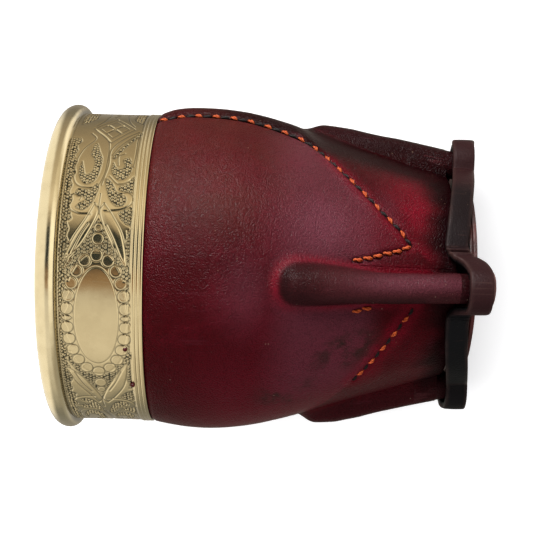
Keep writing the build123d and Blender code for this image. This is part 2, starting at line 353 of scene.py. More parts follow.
def grid_faces(rows, columns, close_rows=False, close_columns=False, first=0):
    """Faces of a grid of points that was laid out row by row."""
    row_index = np.arange(rows if close_rows else rows - 1)
    column_index = np.arange(columns if close_columns else columns - 1)
    r, c = np.meshgrid(row_index, column_index, indexing="ij")
    r2, c2 = (r + 1) % rows, (c + 1) % columns
    quads = np.stack([r * columns + c, r * columns + c2, r2 * columns + c2, r2 * columns + c], axis=-1)
    return (quads.reshape(-1, 4) + first).tolist()


def smooth_line(corners, count):
    """A smooth curve through corners, as count points (a Catmull-Rom curve)."""
    p = np.asarray(corners, float)
    p = np.vstack([2 * p[0] - p[1], p, 2 * p[-1] - p[-2]])
    t = np.linspace(0, len(p) - 3 - 1e-9, count)
    i = t.astype(int)
    s = (t - i)[:, None]
    a, b, c, d = p[i], p[i + 1], p[i + 2], p[i + 3]
    return 0.5 * (2 * b + (c - a) * s + (2 * a - 5 * b + 4 * c - d) * s**2 + (3 * b - a - 3 * c + d) * s**3)


def distance_to_line(x, y, line):
    """Distance from points to a line of straight runs, in a plane."""
    best = np.full(np.shape(x), 1e9)
    for (ax, ay), (bx, by) in zip(line[:-1], line[1:]):
        dx, dy = bx - ax, by - ay
        share = np.clip(((x - ax) * dx + (y - ay) * dy) / (dx * dx + dy * dy + 1e-12), 0, 1)
        best = np.minimum(best, np.hypot(x - ax - share * dx, y - ay - share * dy))
    return best


def smoothstep(low, high, value):
    """0 below low, 1 above high, and smooth between."""
    share = np.clip((value - low) / (high - low), 0, 1)
    return share * share * (3 - 2 * share)


def hump(value, width):
    """A soft hump that is 1 at zero and dies away over width."""
    return np.exp(-((value / width) ** 2))


print("mesh helpers ready")

# %% [markdown]
# ## Shared surface effects
#
# Three effects turn up in several finishes, so each is a node group that is built once: the pebbled
# grain of leather with its blotchy dye and specks of dust, fine scratches, and the small dents and
# ripples of hand-worked skin or sheet. Each material gives a group its own values.

# %% Group helpers


def start_group(name, inputs, outputs):
    """An empty node group with named value sockets. Gives back the tree, its inputs and its output node."""
    tree = bpy.data.node_groups.new(name, "ShaderNodeTree")
    for label, value in inputs:
        socket = tree.interface.new_socket(name=label, in_out="INPUT", socket_type="NodeSocketFloat")
        socket.default_value = value
    for label in outputs:
        tree.interface.new_socket(name=label, in_out="OUTPUT", socket_type="NodeSocketFloat")
    return tree, tree.nodes.new("NodeGroupInput").outputs, tree.nodes.new("NodeGroupOutput")


def finish_group(tree, output_node, results):
    """Links results to the named outputs of a group."""
    for label, value in results.items():
        tree.links.new(value, output_node.inputs[label])


def use_group(tree, group, values):
    """Places a group in a material with its own values, and gives back its outputs."""
    made = tree.nodes.new("ShaderNodeGroup")
    made.node_tree = group
    for label, value in values.items():
        made.inputs[label].default_value = value
    return made.outputs


def noise(tree, scale, detail=3.0, rough=0.55, vector=None, distortion=0.0):
    """Cloudy noise in the cup's own space. Scale is in waves per metre."""
    where = vector or place(tree, "ShaderNodeTexCoord").outputs["Object"]
    sockets = {"Vector": where, "Scale": scale, "Detail": detail}
    sockets.update({"Roughness": rough, "Distortion": distortion})
    return place(tree, "ShaderNodeTexNoise", sockets).outputs[0]


print("group helpers ready")

# %% Leather grain group
grain, given, out = start_group(
    "leather_grain",
    [("Pebbles per metre", 2200.0), ("Blotches per metre", 70.0)],
    ["Height", "Blotch", "Specks"],
)
where = place(grain, "ShaderNodeTexCoord").outputs["Object"]
bent = place(grain, "ShaderNodeTexNoise", {"Vector": where, "Scale": 900.0, "Detail": 2.0})
shift = place(grain, "ShaderNodeVectorMath", {0: bent.outputs["Color"], "Scale": 0.0007}, operation="SCALE")
moved = place(grain, "ShaderNodeVectorMath", {0: where, 1: shift.outputs[0]}, operation="ADD").outputs[0]
cells = place(
    grain,
    "ShaderNodeTexVoronoi",
    {"Vector": moved, "Scale": given["Pebbles per metre"]},
    feature="SMOOTH_F1",
)
pebbles = fade(grain, cells.outputs["Distance"], 0.15, 0.75, 1.0, 0.0)
fine = noise(grain, 5200.0, 2.0)
height = maths(grain, "ADD", maths(grain, "MULTIPLY", pebbles, 0.7), maths(grain, "MULTIPLY", fine, 0.3))
blotch = noise(grain, given["Blotches per metre"], 5.0, 0.62)
dots = place(grain, "ShaderNodeTexVoronoi", {"Vector": where, "Scale": 420.0, "Randomness": 1.0})
specks = fade(grain, dots.outputs["Distance"], 0.05, 0.11, 1.0, 0.0)
chance = fade(grain, noise(grain, 260.0, 2.0), 0.50, 0.62)
few_specks = maths(grain, "MULTIPLY", specks, chance)
finish_group(grain, out, {"Height": height, "Blotch": blotch, "Specks": few_specks})
print("leather_grain nodes:", len(grain.nodes))

# %% Scratches group
scratch_inputs = [("Strands per metre", 900.0), ("Share", 0.5)]
scratches, given, out = start_group("scratches", scratch_inputs, ["Lines", "Rubbed"])
where = place(scratches, "ShaderNodeTexCoord").outputs["Object"]


def strands(rotation):
    """Thin lines along one direction: noise that is drawn out thirty times."""
    mapping = {"Vector": where, "Rotation": rotation, "Scale": (1.0, 1.0, 0.035)}
    drawn = place(scratches, "ShaderNodeMapping", mapping).outputs[0]
    thin = place(scratches, "ShaderNodeTexNoise", {"Vector": drawn, "Scale": given[0], "Detail": 1.5})
    return fade(scratches, thin.outputs[0], 0.66, 0.72)


both = maths(scratches, "MAXIMUM", strands((0.5, 0.9, 0.2)), strands((-0.8, 0.5, 1.1)))
patchy = fade(scratches, noise(scratches, 90.0, 3.0), 0.45, 0.6)
lines = maths(scratches, "MULTIPLY", maths(scratches, "MULTIPLY", both, patchy), given["Share"])
finish_group(scratches, out, {"Lines": lines, "Rubbed": patchy})
print("scratches nodes:", len(scratches.nodes))

# %% Hand ripples group
ripples, given, out = start_group("hand_ripples", [("Waves per metre", 60.0)], ["Height"])
long_wave = noise(ripples, given["Waves per metre"], 2.0, 0.5)
short_wave = noise(ripples, maths(ripples, "MULTIPLY", given["Waves per metre"], 4.0), 2.0, 0.5)
weak_wave = maths(ripples, "MULTIPLY", short_wave, 0.2)
finish_group(ripples, out, {"Height": maths(ripples, "ADD", long_wave, weak_wave)})
print("hand_ripples nodes:", len(ripples.nodes))

# %% [markdown]
# ## Finishes
#
# A finish is a Principled shader with a colour and a roughness that change over the surface, and a
# bump for what is too small to model. Uniform numbers are set on the shader itself. The painted masks
# that the leather reads are stored on each mesh when it is made.

# %% Finish helpers


def start_finish(name, **uniform):
    """A material with an empty tree but for its Principled shader. Uniform values go on the shader."""
    made = bpy.data.materials.new(name)
    made.use_nodes = True
    tree = made.node_tree
    shader = tree.nodes["Principled BSDF"]
    for label, value in uniform.items():
        shader.inputs[label.replace("_", " ")].default_value = value
    return made, tree, shader.inputs


def painted(tree, name):
    """A number that was stored on the mesh."""
    return place(tree, "ShaderNodeAttribute", attribute_name=name).outputs["Fac"]


def bump(tree, height, distance, strength=1.0, under=None):
    """Small relief, distance in millimetres. Under is a bump that lies below this one."""
    sockets = {"Height": height, "Distance": distance * MM, "Strength": strength}
    if under is not None:
        sockets["Normal"] = under
    return place(tree, "ShaderNodeBump", sockets).outputs[0]


print("finish helpers ready")

# %% Cover leather
BURGUNDY = (0.052, 0.0012, 0.0034, 1)
BROWN_RED = (0.086, 0.012, 0.011, 1)
CRIMSON = (0.185, 0.0040, 0.014, 1)
ROSE = (0.112, 0.0055, 0.0125, 1)
# PLUM is the colour of the painted sheen, and of the fine scratches
PLUM = (0.158, 0.039, 0.058, 1)
FOOT_PLUM = (0.060, 0.0125, 0.015, 1)
# near black: the colour of dark dye, and of painted shade
DARK_AND_SHADE = (0.0085, 0.0008, 0.0015, 1)
MOSS = (0.020, 0.013, 0.009, 1)
SPECK = (0.42, 0.28, 0.20, 1)

cover_leather, tree, shader = start_finish("cover_leather", Specular_IOR_Level=0.035)
hide = use_group(tree, grain, {"Pebbles per metre": 3000.0, "Blotches per metre": 62.0})
worn = use_group(tree, scratches, {"Strands per metre": 1300.0, "Share": 0.55})
wavy = use_group(tree, ripples, {"Waves per metre": 110.0})
# painted sheen: the warm mask is the dull brown red of a broad reflection on the key lamp's side, broken up
# by the blotches
warm = maths(tree, "MULTIPLY", painted(tree, "warm"), fade(tree, hide["Blotch"], 0.30, 0.62, 0.55, 1.0))
mottle = fade(tree, noise(tree, 70.0, 5.0, 0.65), 0.42, 0.64, 0.0, 0.40)
colour = blend_colour(tree, warm, BURGUNDY, BROWN_RED)
colour = blend_colour(tree, maths(tree, "MAXIMUM", painted(tree, "rose"), mottle), colour, ROSE)
colour = blend_colour(tree, painted(tree, "foot"), colour, FOOT_PLUM)
# painted sheen: plum where the skin would mirror a cool light, and a painted highlight along the front and
# back feet's ridges
colour = blend_colour(tree, maths(tree, "MULTIPLY", painted(tree, "plum_sheen"), 0.95), colour, PLUM)
uneven_red = fade(tree, noise(tree, 130.0, 4.0, 0.6), 0.36, 0.60, 0.60, 1.0)
colour = blend_colour(tree, maths(tree, "MULTIPLY", painted(tree, "crimson"), uneven_red), colour, CRIMSON)
smudge_cloud = fade(tree, noise(tree, 170.0, 4.0, 0.6), 0.42, 0.62)
smudge = maths(tree, "MULTIPLY", painted(tree, "smudge"), smudge_cloud)
colour = blend_colour(tree, smudge, colour, MOSS)
# near black where the mask says: dark dye at the seams and hem, and painted shade on the feet, under the
# strap's edge and along the gusset's turned-away edge
colour = blend_colour(tree, painted(tree, "dark_and_shade"), colour, DARK_AND_SHADE)
pits = fade(tree, hide["Height"], 0.25, 0.6, 0.74, 1.0)
colour = blend_colour(tree, 1.0, colour, pits, "MULTIPLY")
colour = blend_colour(tree, maths(tree, "MULTIPLY", worn["Lines"], 0.22), colour, PLUM)
colour = blend_colour(tree, maths(tree, "MULTIPLY", hide["Specks"], 0.30), colour, SPECK)
tree.links.new(colour, shader["Base Color"])
sheen_break = maths(tree, "SUBTRACT", 0.37, maths(tree, "MULTIPLY", hide["Blotch"], 0.14))
foot_polish = maths(tree, "MULTIPLY", painted(tree, "foot"), 0.08)
tree.links.new(maths(tree, "SUBTRACT", sheen_break, foot_polish), shader["Roughness"])
soft_relief = bump(tree, wavy["Height"], 0.5, 0.30)
tree.links.new(bump(tree, hide["Height"], 0.20, 0.85, soft_relief), shader["Normal"])
print("cover_leather ready")

# %% Strap, sole and raw leather
STRAP_BROWN = (0.030, 0.011, 0.012, 1)
STRAP_BLACK = (0.0050, 0.0060, 0.0068, 1)
STRAP_WEAR_AND_HIGHLIGHT = (0.085, 0.046, 0.040, 1)

strap_leather, tree, shader = start_finish("strap_leather", Specular_IOR_Level=0.035)
hide = use_group(tree, grain, {"Pebbles per metre": 2600.0, "Blotches per metre": 120.0})
worn = use_group(tree, scratches, {"Strands per metre": 1500.0, "Share": 0.8})
# black where the mask says: painted shade on the strap's shaded runs, inner face and side loops, and a darker
# stretch beside each long foot
colour = blend_colour(tree, painted(tree, "dark_and_shade"), STRAP_BROWN, STRAP_BLACK)
# lighter rims and fold crests: rubbed wear, with a painted highlight where they catch the light
edge_wear_and_highlight = maths(tree, "MULTIPLY", painted(tree, "edge"), fade(tree, hide["Blotch"], 0.35, 0.65, 0.2, 0.9))
colour = blend_colour(tree, edge_wear_and_highlight, colour, STRAP_WEAR_AND_HIGHLIGHT)
colour = blend_colour(tree, maths(tree, "MULTIPLY", worn["Lines"], 0.35), colour, STRAP_WEAR_AND_HIGHLIGHT)
colour = blend_colour(tree, maths(tree, "MULTIPLY", hide["Specks"], 0.25), colour, SPECK)
tree.links.new(colour, shader["Base Color"])
tree.links.new(fade(tree, hide["Blotch"], 0.3, 0.7, 0.52, 0.36), shader["Roughness"])
tree.links.new(bump(tree, hide["Height"], 0.10, 0.6), shader["Normal"])

SOLE_RED = (0.095, 0.020, 0.018, 1)
SOLE_DARK = (0.040, 0.012, 0.011, 1)
sole_leather, tree, shader = start_finish("sole_leather", Specular_IOR_Level=0.2)
hide = use_group(tree, grain, {"Pebbles per metre": 1900.0, "Blotches per metre": 150.0})
worn = use_group(tree, scratches, {"Strands per metre": 700.0, "Share": 0.9})
colour = blend_colour(tree, fade(tree, hide["Blotch"], 0.35, 0.65), SOLE_RED, SOLE_DARK)
colour = blend_colour(tree, maths(tree, "MULTIPLY", worn["Lines"], 0.5), colour, (0.30, 0.13, 0.10, 1))
tree.links.new(colour, shader["Base Color"])
tree.links.new(fade(tree, hide["Blotch"], 0.3, 0.7, 0.62, 0.48), shader["Roughness"])
tree.links.new(bump(tree, hide["Height"], 0.12, 0.6), shader["Normal"])

RAW_PINK = (0.25, 0.115, 0.10, 1)
RAW_RED = (0.12, 0.028, 0.026, 1)
raw_leather, tree, shader = start_finish("raw_leather", Specular_IOR_Level=0.3)
hide = use_group(tree, grain, {"Pebbles per metre": 2600.0, "Blotches per metre": 420.0})
colour = blend_colour(tree, fade(tree, hide["Blotch"], 0.38, 0.60), RAW_PINK, RAW_RED)
tree.links.new(colour, shader["Base Color"])
tree.links.new(fade(tree, hide["Blotch"], 0.3, 0.7, 0.42, 0.6), shader["Roughness"])
tree.links.new(bump(tree, hide["Height"], 0.16, 0.7), shader["Normal"])
print("strap_leather, sole_leather and raw_leather ready")

# %% Thread


def thread_finish(name, light, dark):
    """Waxed thread: lighter on the crown of each strand, with painted shade where the strands meet."""
    made, tree, shader = start_finish(name, Specular_IOR_Level=0.10)
    fibre = noise(tree, 3200.0, 3.0, 0.6)
    colour = blend_colour(tree, painted(tree, "groove"), light, dark)
    colour = blend_colour(tree, fade(tree, fibre, 0.35, 0.7, 0.0, 0.45), colour, dark)
    tree.links.new(colour, shader["Base Color"])
    tree.links.new(fade(tree, fibre, 0.3, 0.7, 0.50, 0.72), shader["Roughness"])
    tree.links.new(bump(tree, fibre, 0.06, 0.8), shader["Normal"])
    return made


orange_thread = thread_finish("orange_thread", (0.62, 0.115, 0.028, 1), (0.24, 0.020, 0.009, 1))
black_thread = thread_finish("black_thread", (0.010, 0.006, 0.006, 1), (0.004, 0.003, 0.003, 1))
print("thread finishes ready")

# %% Collar metals
SILVER = (0.66, 0.55, 0.34, 1)
TARNISH = (0.050, 0.050, 0.038, 1)


def metal_finish(name, silver, rough, ripple, reads_tarnish):
    """Champagne-coloured silver alloy: soft ripples from the hammer, fine wiping marks, dark recesses."""
    made, tree, shader = start_finish(name, Metallic=1.0)
    wiped = use_group(tree, scratches, {"Strands per metre": 1700.0, "Share": 0.5})
    wavy = use_group(tree, ripples, {"Waves per metre": 95.0})
    cloud = noise(tree, 240.0, 4.0, 0.6)
    colour = blend_colour(tree, fade(tree, cloud, 0.40, 0.70, 0.0, 0.16), silver, (0.40, 0.31, 0.17, 1))
    if reads_tarnish:
        colour = blend_colour(tree, painted(tree, "tarnish"), colour, TARNISH)
    tree.links.new(colour, shader["Base Color"])
    dull = maths(tree, "ADD", maths(tree, "MULTIPLY", cloud, 0.14), rough)
    dull = maths(tree, "ADD", dull, maths(tree, "MULTIPLY", wiped["Lines"], 0.12))
    tree.links.new(dull, shader["Roughness"])
    tree.links.new(bump(tree, wavy["Height"], ripple, 0.5), shader["Normal"])
    return made


band_metal = metal_finish("band_metal", SILVER, 0.10, 0.16, True)
lip_metal = metal_finish("lip_metal", (0.72, 0.625, 0.42, 1), 0.10, 0.30, True)
reed_metal = metal_finish("reed_metal", SILVER, 0.12, 0.10, True)
liner_metal = metal_finish("liner_metal", (0.60, 0.52, 0.36, 1), 0.24, 0.40, False)

tack_finish, tree, shader = start_finish("tack", Specular_IOR_Level=0.15)
patch = noise(tree, 1500.0, 2.0)
tack_red = blend_colour(tree, patch, (0.11, 0.006, 0.008, 1), (0.03, 0.004, 0.004, 1))
tree.links.new(tack_red, shader["Base Color"])
tree.links.new(fade(tree, patch, 0.3, 0.7, 0.3, 0.5), shader["Roughness"])
print("metals and tack ready")

# %% Gourd
gourd_finish, tree, shader = start_finish("gourd", Specular_IOR_Level=0.35)
stain = noise(tree, 45.0, 6.0, 0.65, distortion=0.6)
fibre_height = noise(tree, 700.0, 4.0, 0.6)
colour = blend_colour(tree, fade(tree, stain, 0.35, 0.65), (0.30, 0.17, 0.075, 1), (0.11, 0.055, 0.025, 1))
colour = blend_colour(tree, fade(tree, fibre_height, 0.5, 0.75, 0.0, 0.6), colour, (0.05, 0.028, 0.014, 1))
tree.links.new(colour, shader["Base Color"])
tree.links.new(fade(tree, stain, 0.3, 0.7, 0.6, 0.82), shader["Roughness"])
tree.links.new(bump(tree, fibre_height, 0.35, 0.8), shader["Normal"])
gourd_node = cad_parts["gourd_shell"]
gourd_node.data.materials.clear()
gourd_node.data.materials.append(gourd_finish)
lit_pieces.objects.link(gourd_node)
print("gourd finish ready")

# %% [markdown]
# ## Leather body
#
# The wet leather is pulled over the gourd and over the tops of the feet, so skirt, belly and feet are
# one flowing skin. It could be sculpted by hand, but a rule is easier to control: the skin is where a
# straight line from outside towards the cup's axis first meets either the body or one of four round
# rods, with a soft fillet between them. That gives one radius for each bearing and height.

# %% Where the skin lies
WAIST_RADIUS = BELLY_RADIUS - BELLY_ARC + math.sqrt(BELLY_ARC**2 - (BELLY_Z - WAIST_Z) ** 2)
SKIRT_LEAN = (WAIST_RADIUS - HEM_RADIUS) / (WAIST_Z - HEM_Z)
FOOT_LINES = {
    0.0: [(28.5, 0.0), (35.8, 31.0), (37.6, 40.0), (38.4, 48.6)],
    90.0: [(28.3, 0.0), (32.8, 23.0), (34.4, 34.0), (34.9, 41.2)],
    180.0: [(28.5, 0.0), (35.8, 31.0), (37.6, 40.0), (38.4, 48.6)],
    270.0: [(28.5, 0.0), (35.6, 30.0), (36.5, 36.5), (36.6, 41.2)],
}


def body_radius(z):
    """Radius of the leather away from the feet: belly arc above, skirt cone below, joined softly.

    Known fault: the belly's arc ends at BELLY_Z - BELLY_ARC, 8.6 mm. Below that height this gives no
    number, and the covers' lowest rows of points fall onto the cup's axis.
    """
    belly = BELLY_RADIUS - BELLY_ARC + np.sqrt(BELLY_ARC**2 - (z - BELLY_Z) ** 2)
    skirt = HEM_RADIUS + (z - HEM_Z) * SKIRT_LEAN
    softness = 1.4 * np.clip((WAIST_Z + 8.0 - z) / 8.0, 0.05, 1)
    apart = np.clip(softness - np.abs(belly - skirt), 0, None)
    joined = np.maximum(belly, skirt) + apart**2 / (4 * softness)
    return np.where(z > WAIST_Z + 8.0, belly, joined)


def foot_distance(radius, bearing, z, foot, line):
    """Distance from points to the skin of one foot, which swells a little at its top."""
    angle = np.radians(bearing - foot)
    across, outwards = radius * np.sin(angle), radius * np.cos(angle)
    swell = smoothstep(24.0, line[-1][1], z)
    side = across - 1.0 * swell
    return np.hypot(side, distance_to_line(outwards, z, line)) - FOOT_RADIUS - 0.85 * swell


def skin_radius(bearing, z):
    """Outer radius of the leather at each bearing and height, by walking inwards from outside."""
    radius = np.full(np.broadcast(bearing, z).shape, 47.0)
    body = body_radius(z)
    fillet = 0.9 + 2.6 * smoothstep(22.0, 46.0, z)
    for _ in range(70):
        to_body = (radius - body) * 0.95
        nearest = np.full(radius.shape, 1e9)
        for foot, line in FOOT_LINES.items():
            nearest = np.minimum(nearest, foot_distance(radius, bearing, z, foot, line))
        overlap = np.clip(fillet - np.abs(to_body - nearest), 0, None)
        gap = np.minimum(to_body, nearest) - overlap**2 / (4 * fillet)
        radius = radius - 0.9 * gap
    return radius, nearest


check_z = np.array([8.0, 20.0, 35.0, 50.0, 70.0])
print("skin over the front foot:", np.round(skin_radius(np.zeros(5), check_z)[0], 1))

# %% [markdown]
# ## Seams
#
# Two leather covers meet at a side seam that runs down from the collar and turns in under each foot's
# flank, leaving a pointed tongue sewn over the piece below. A seam is drawn as a few corners, each a
# bearing and a height. A half turn of the cup gives the same seams again.

# %% Seam lines
SIDE_SEAM = [
    (72.6, 86.0), (72.5, 81.3), (73.3, 76.9), (72.3, 72.3), (71.9, 67.4), (71.3, 63.1), (69.7, 58.5),
    (68.6, 54.5), (67.2, 50.4), (64.7, 46.2), (59.6, 42.7), (51.7, 38.3), (41.9, 32.6), (31.7, 27.0),
    (26.3, 23.8), (19.2, 20.8),
]
FLANK_SEAM = [(19.2, 20.8), (15.6, 24.3), (14.8, 27.1), (12.9, 29.3), (11.9, 32.0), (10.6, 35.2)]
BLIND_DART = [(-10.0, 19.6), (-14.5, 21.3), (-25.0, 25.2), (-36.0, 29.3), (-47.0, 33.6)]
BLIND_FLANK = [(-8.6, 30.1), (-9.2, 32.8), (-10.3, 35.0)]
FOOT_CREASE = 8.8
TUCK_Z = COLLAR_Z + 0.1


def flat(bearing, z):
    """The skirt and belly laid out flat, near enough: arc length across and height up, both in mm."""
    return np.radians(bearing) * (body_radius(np.asarray(z, float)) + 1.0), np.asarray(z, float) * 1.03


def flat_line(corners):
    """A seam on the flat layout."""
    line = np.array(corners, float)
    return np.stack(flat(line[:, 0], line[:, 1]), axis=-1)


def bearing_of(line, z):
    """Bearing of a seam at each height. Its corners run downwards or upwards."""
    corners = np.array(sorted((height, bearing) for bearing, height in line))
    return np.interp(z, corners[:, 0], corners[:, 1])


def owner(bearing, z):
    """Above zero where the back cover owns the skin, and below zero where the front cover does."""
    turned = np.mod(bearing + 19.0, 360.0) - 19.0
    behind = turned > 161.0
    local = np.where(behind, turned - HALF_TURN, turned)
    below = np.clip(20.8 - z, 0, None)
    seam = bearing_of(SIDE_SEAM, z) - 2.0 * below
    flank = bearing_of(FLANK_SEAM, z) + 2.0 * below - 3.0 * np.clip(z - 35.2, 0, None)
    beyond = np.minimum(local - FOOT_CREASE, np.maximum(local - seam, flank - local))
    return np.where(behind, -beyond, beyond)


print("side seam at z 60:", round(float(bearing_of(SIDE_SEAM, 60.0)), 1))

# %% [markdown]
# The skin is cut exactly along the seams: a fine grid is laid over bearing and height, and each face
# that a seam crosses is cut in two there. Then each cover gets its relief: a groove under the thread,
# a raised cut edge where the tongue lies on top, and slight hand-made unevenness.

# %% Cut the skin into two covers
COLUMNS, ROWS = 540, 160

grid_bearing, grid_z = np.meshgrid(
    np.linspace(-180, 180, COLUMNS, endpoint=False), np.linspace(HEM_Z + 0.05, TUCK_Z, ROWS)
)
grid_owner = owner(grid_bearing, grid_z).ravel()
points = [tuple(p) for p in np.stack([grid_bearing.ravel(), grid_z.ravel()], axis=-1)]
cut_points = {}


def cut_edge(a, b):
    """The point where the seam crosses the edge from a to b, made once for both faces beside it."""
    name = (min(a, b), max(a, b))
    if name not in cut_points:
        share = grid_owner[a] / (grid_owner[a] - grid_owner[b])
        (ba, za), (bb, zb) = points[a], points[b]
        cut_points[name] = len(points)
        points.append((ba + share * (bb - ba), za + share * (zb - za)))
    return cut_points[name]


cover_faces = {"front": [], "back": []}
for face in grid_faces(ROWS, COLUMNS, close_columns=True):
    signs = [grid_owner[v] > 0 for v in face]
    if all(signs) or not any(signs):
        cover_faces["back" if signs[0] else "front"].append(face)
        continue
    halves = {"front": [], "back": []}
    for i, v in enumerate(face):
        after = face[(i + 1) % 4]
        halves["back" if signs[i] else "front"].append(v)
        if signs[i] != signs[(i + 1) % 4]:
            crossing = cut_edge(v, after)
            halves["front"].append(crossing)
            halves["back"].append(crossing)
    for side, half in halves.items():
        if len(half) > 2:
            cover_faces[side].append(half)
print("faces:", {side: len(faces) for side, faces in cover_faces.items()}, "cut points:", len(cut_points))

# %% Relief, dye and painted light of the covers
LEATHER = 1.5


def both_turns(value_of, bearing, z):
    """The larger of a mask at each point and the same mask half a turn away."""
    near = np.mod(bearing + 180.0, 360.0) - 180.0
    far = np.mod(bearing, 360.0) - 180.0
    return np.maximum(value_of(near, z), value_of(far, z))


def from_seam(corners):
    """A mask maker: minus the distance in mm from a seam, so that the larger of two is the nearer."""
    line = flat_line(corners)
    return lambda bearing, z: -distance_to_line(*flat(bearing, z), line)


def unevenness(bearing, z):
    """Slow, slight waves in the skin, in mm."""
    a = np.radians(bearing)
    waves = np.sin(3 * a + z / 9.0) + 0.7 * np.sin(5 * a - z / 6.5 + 1.3)
    waves = waves + 0.5 * np.sin(9 * a + z / 4.1 + 2.1)
    return 0.07 * waves * smoothstep(86.0, 78.0, z)


def painted_brown_sheen(local, z, gusset):
    """Painted sheen: brown red on the side towards the key lamp, where a broad reflection dulls the red."""
    return smoothstep(8.0, 32.0, local) * (0.35 + 0.65 * smoothstep(30.0, 52.0, z)) * (1 - 0.8 * gusset)


def rose_dye(local, z, gusset):
    """Brighter red on the other side of the belly, and above the tongue's point."""
    rose = smoothstep(-12.0, -40.0, local) * smoothstep(84.0, 62.0, z) * (1 - 0.75 * gusset)
    return np.maximum(rose, hump(local - 24.0, 14.0) * hump(z - 30.0, 8.0) * (1 - gusset))


def painted_plum_sheen(local, z, gusset, foot):
    """A painted plum sheen of reflected light over the lower belly, and a painted highlight along the ridge
    of the front and back feet.
    """
    plum_sheen = hump(local - 24.0, 18.0) * hump(z - 42.5, 10.5) * (1 - gusset)
    low_sheen = smoothstep(60.0, 46.0, z) * smoothstep(26.0, 34.0, z) * smoothstep(-62.0, -36.0, local)
    plum_sheen = np.maximum(plum_sheen, 0.55 * low_sheen * (1 - gusset))
    plum_sheen = np.maximum(plum_sheen, 0.35 * hump(local + 2.0, 13.0) * hump(z - 60.5, 6.0))
    plum_sheen = np.maximum(plum_sheen, 0.45 * hump(local + 20.0, 10.0) * hump(z - 44.0, 8.0))
    plum_sheen = np.maximum(plum_sheen, 0.5 * gusset * hump(local - 33.0, 9.0) * hump(z - 26.0, 3.4))
    return np.maximum(plum_sheen * (1 - foot), 0.70 * foot * hump(local - 2.6, 3.4) * smoothstep(44.0, 22.0, z))


def moss_smudges(local, z):
    """Dull marks left by handling."""
    smudge = hump(local + 26.0, 10.0) * hump(z - 36.0, 8.0)
    smudge = np.maximum(smudge, 0.9 * hump(local + 45.0, 7.0) * hump(z - 50.0, 7.0))
    return np.maximum(smudge, 0.5 * smoothstep(58.0, 72.0, local) * hump(z - 52.0, 18.0))


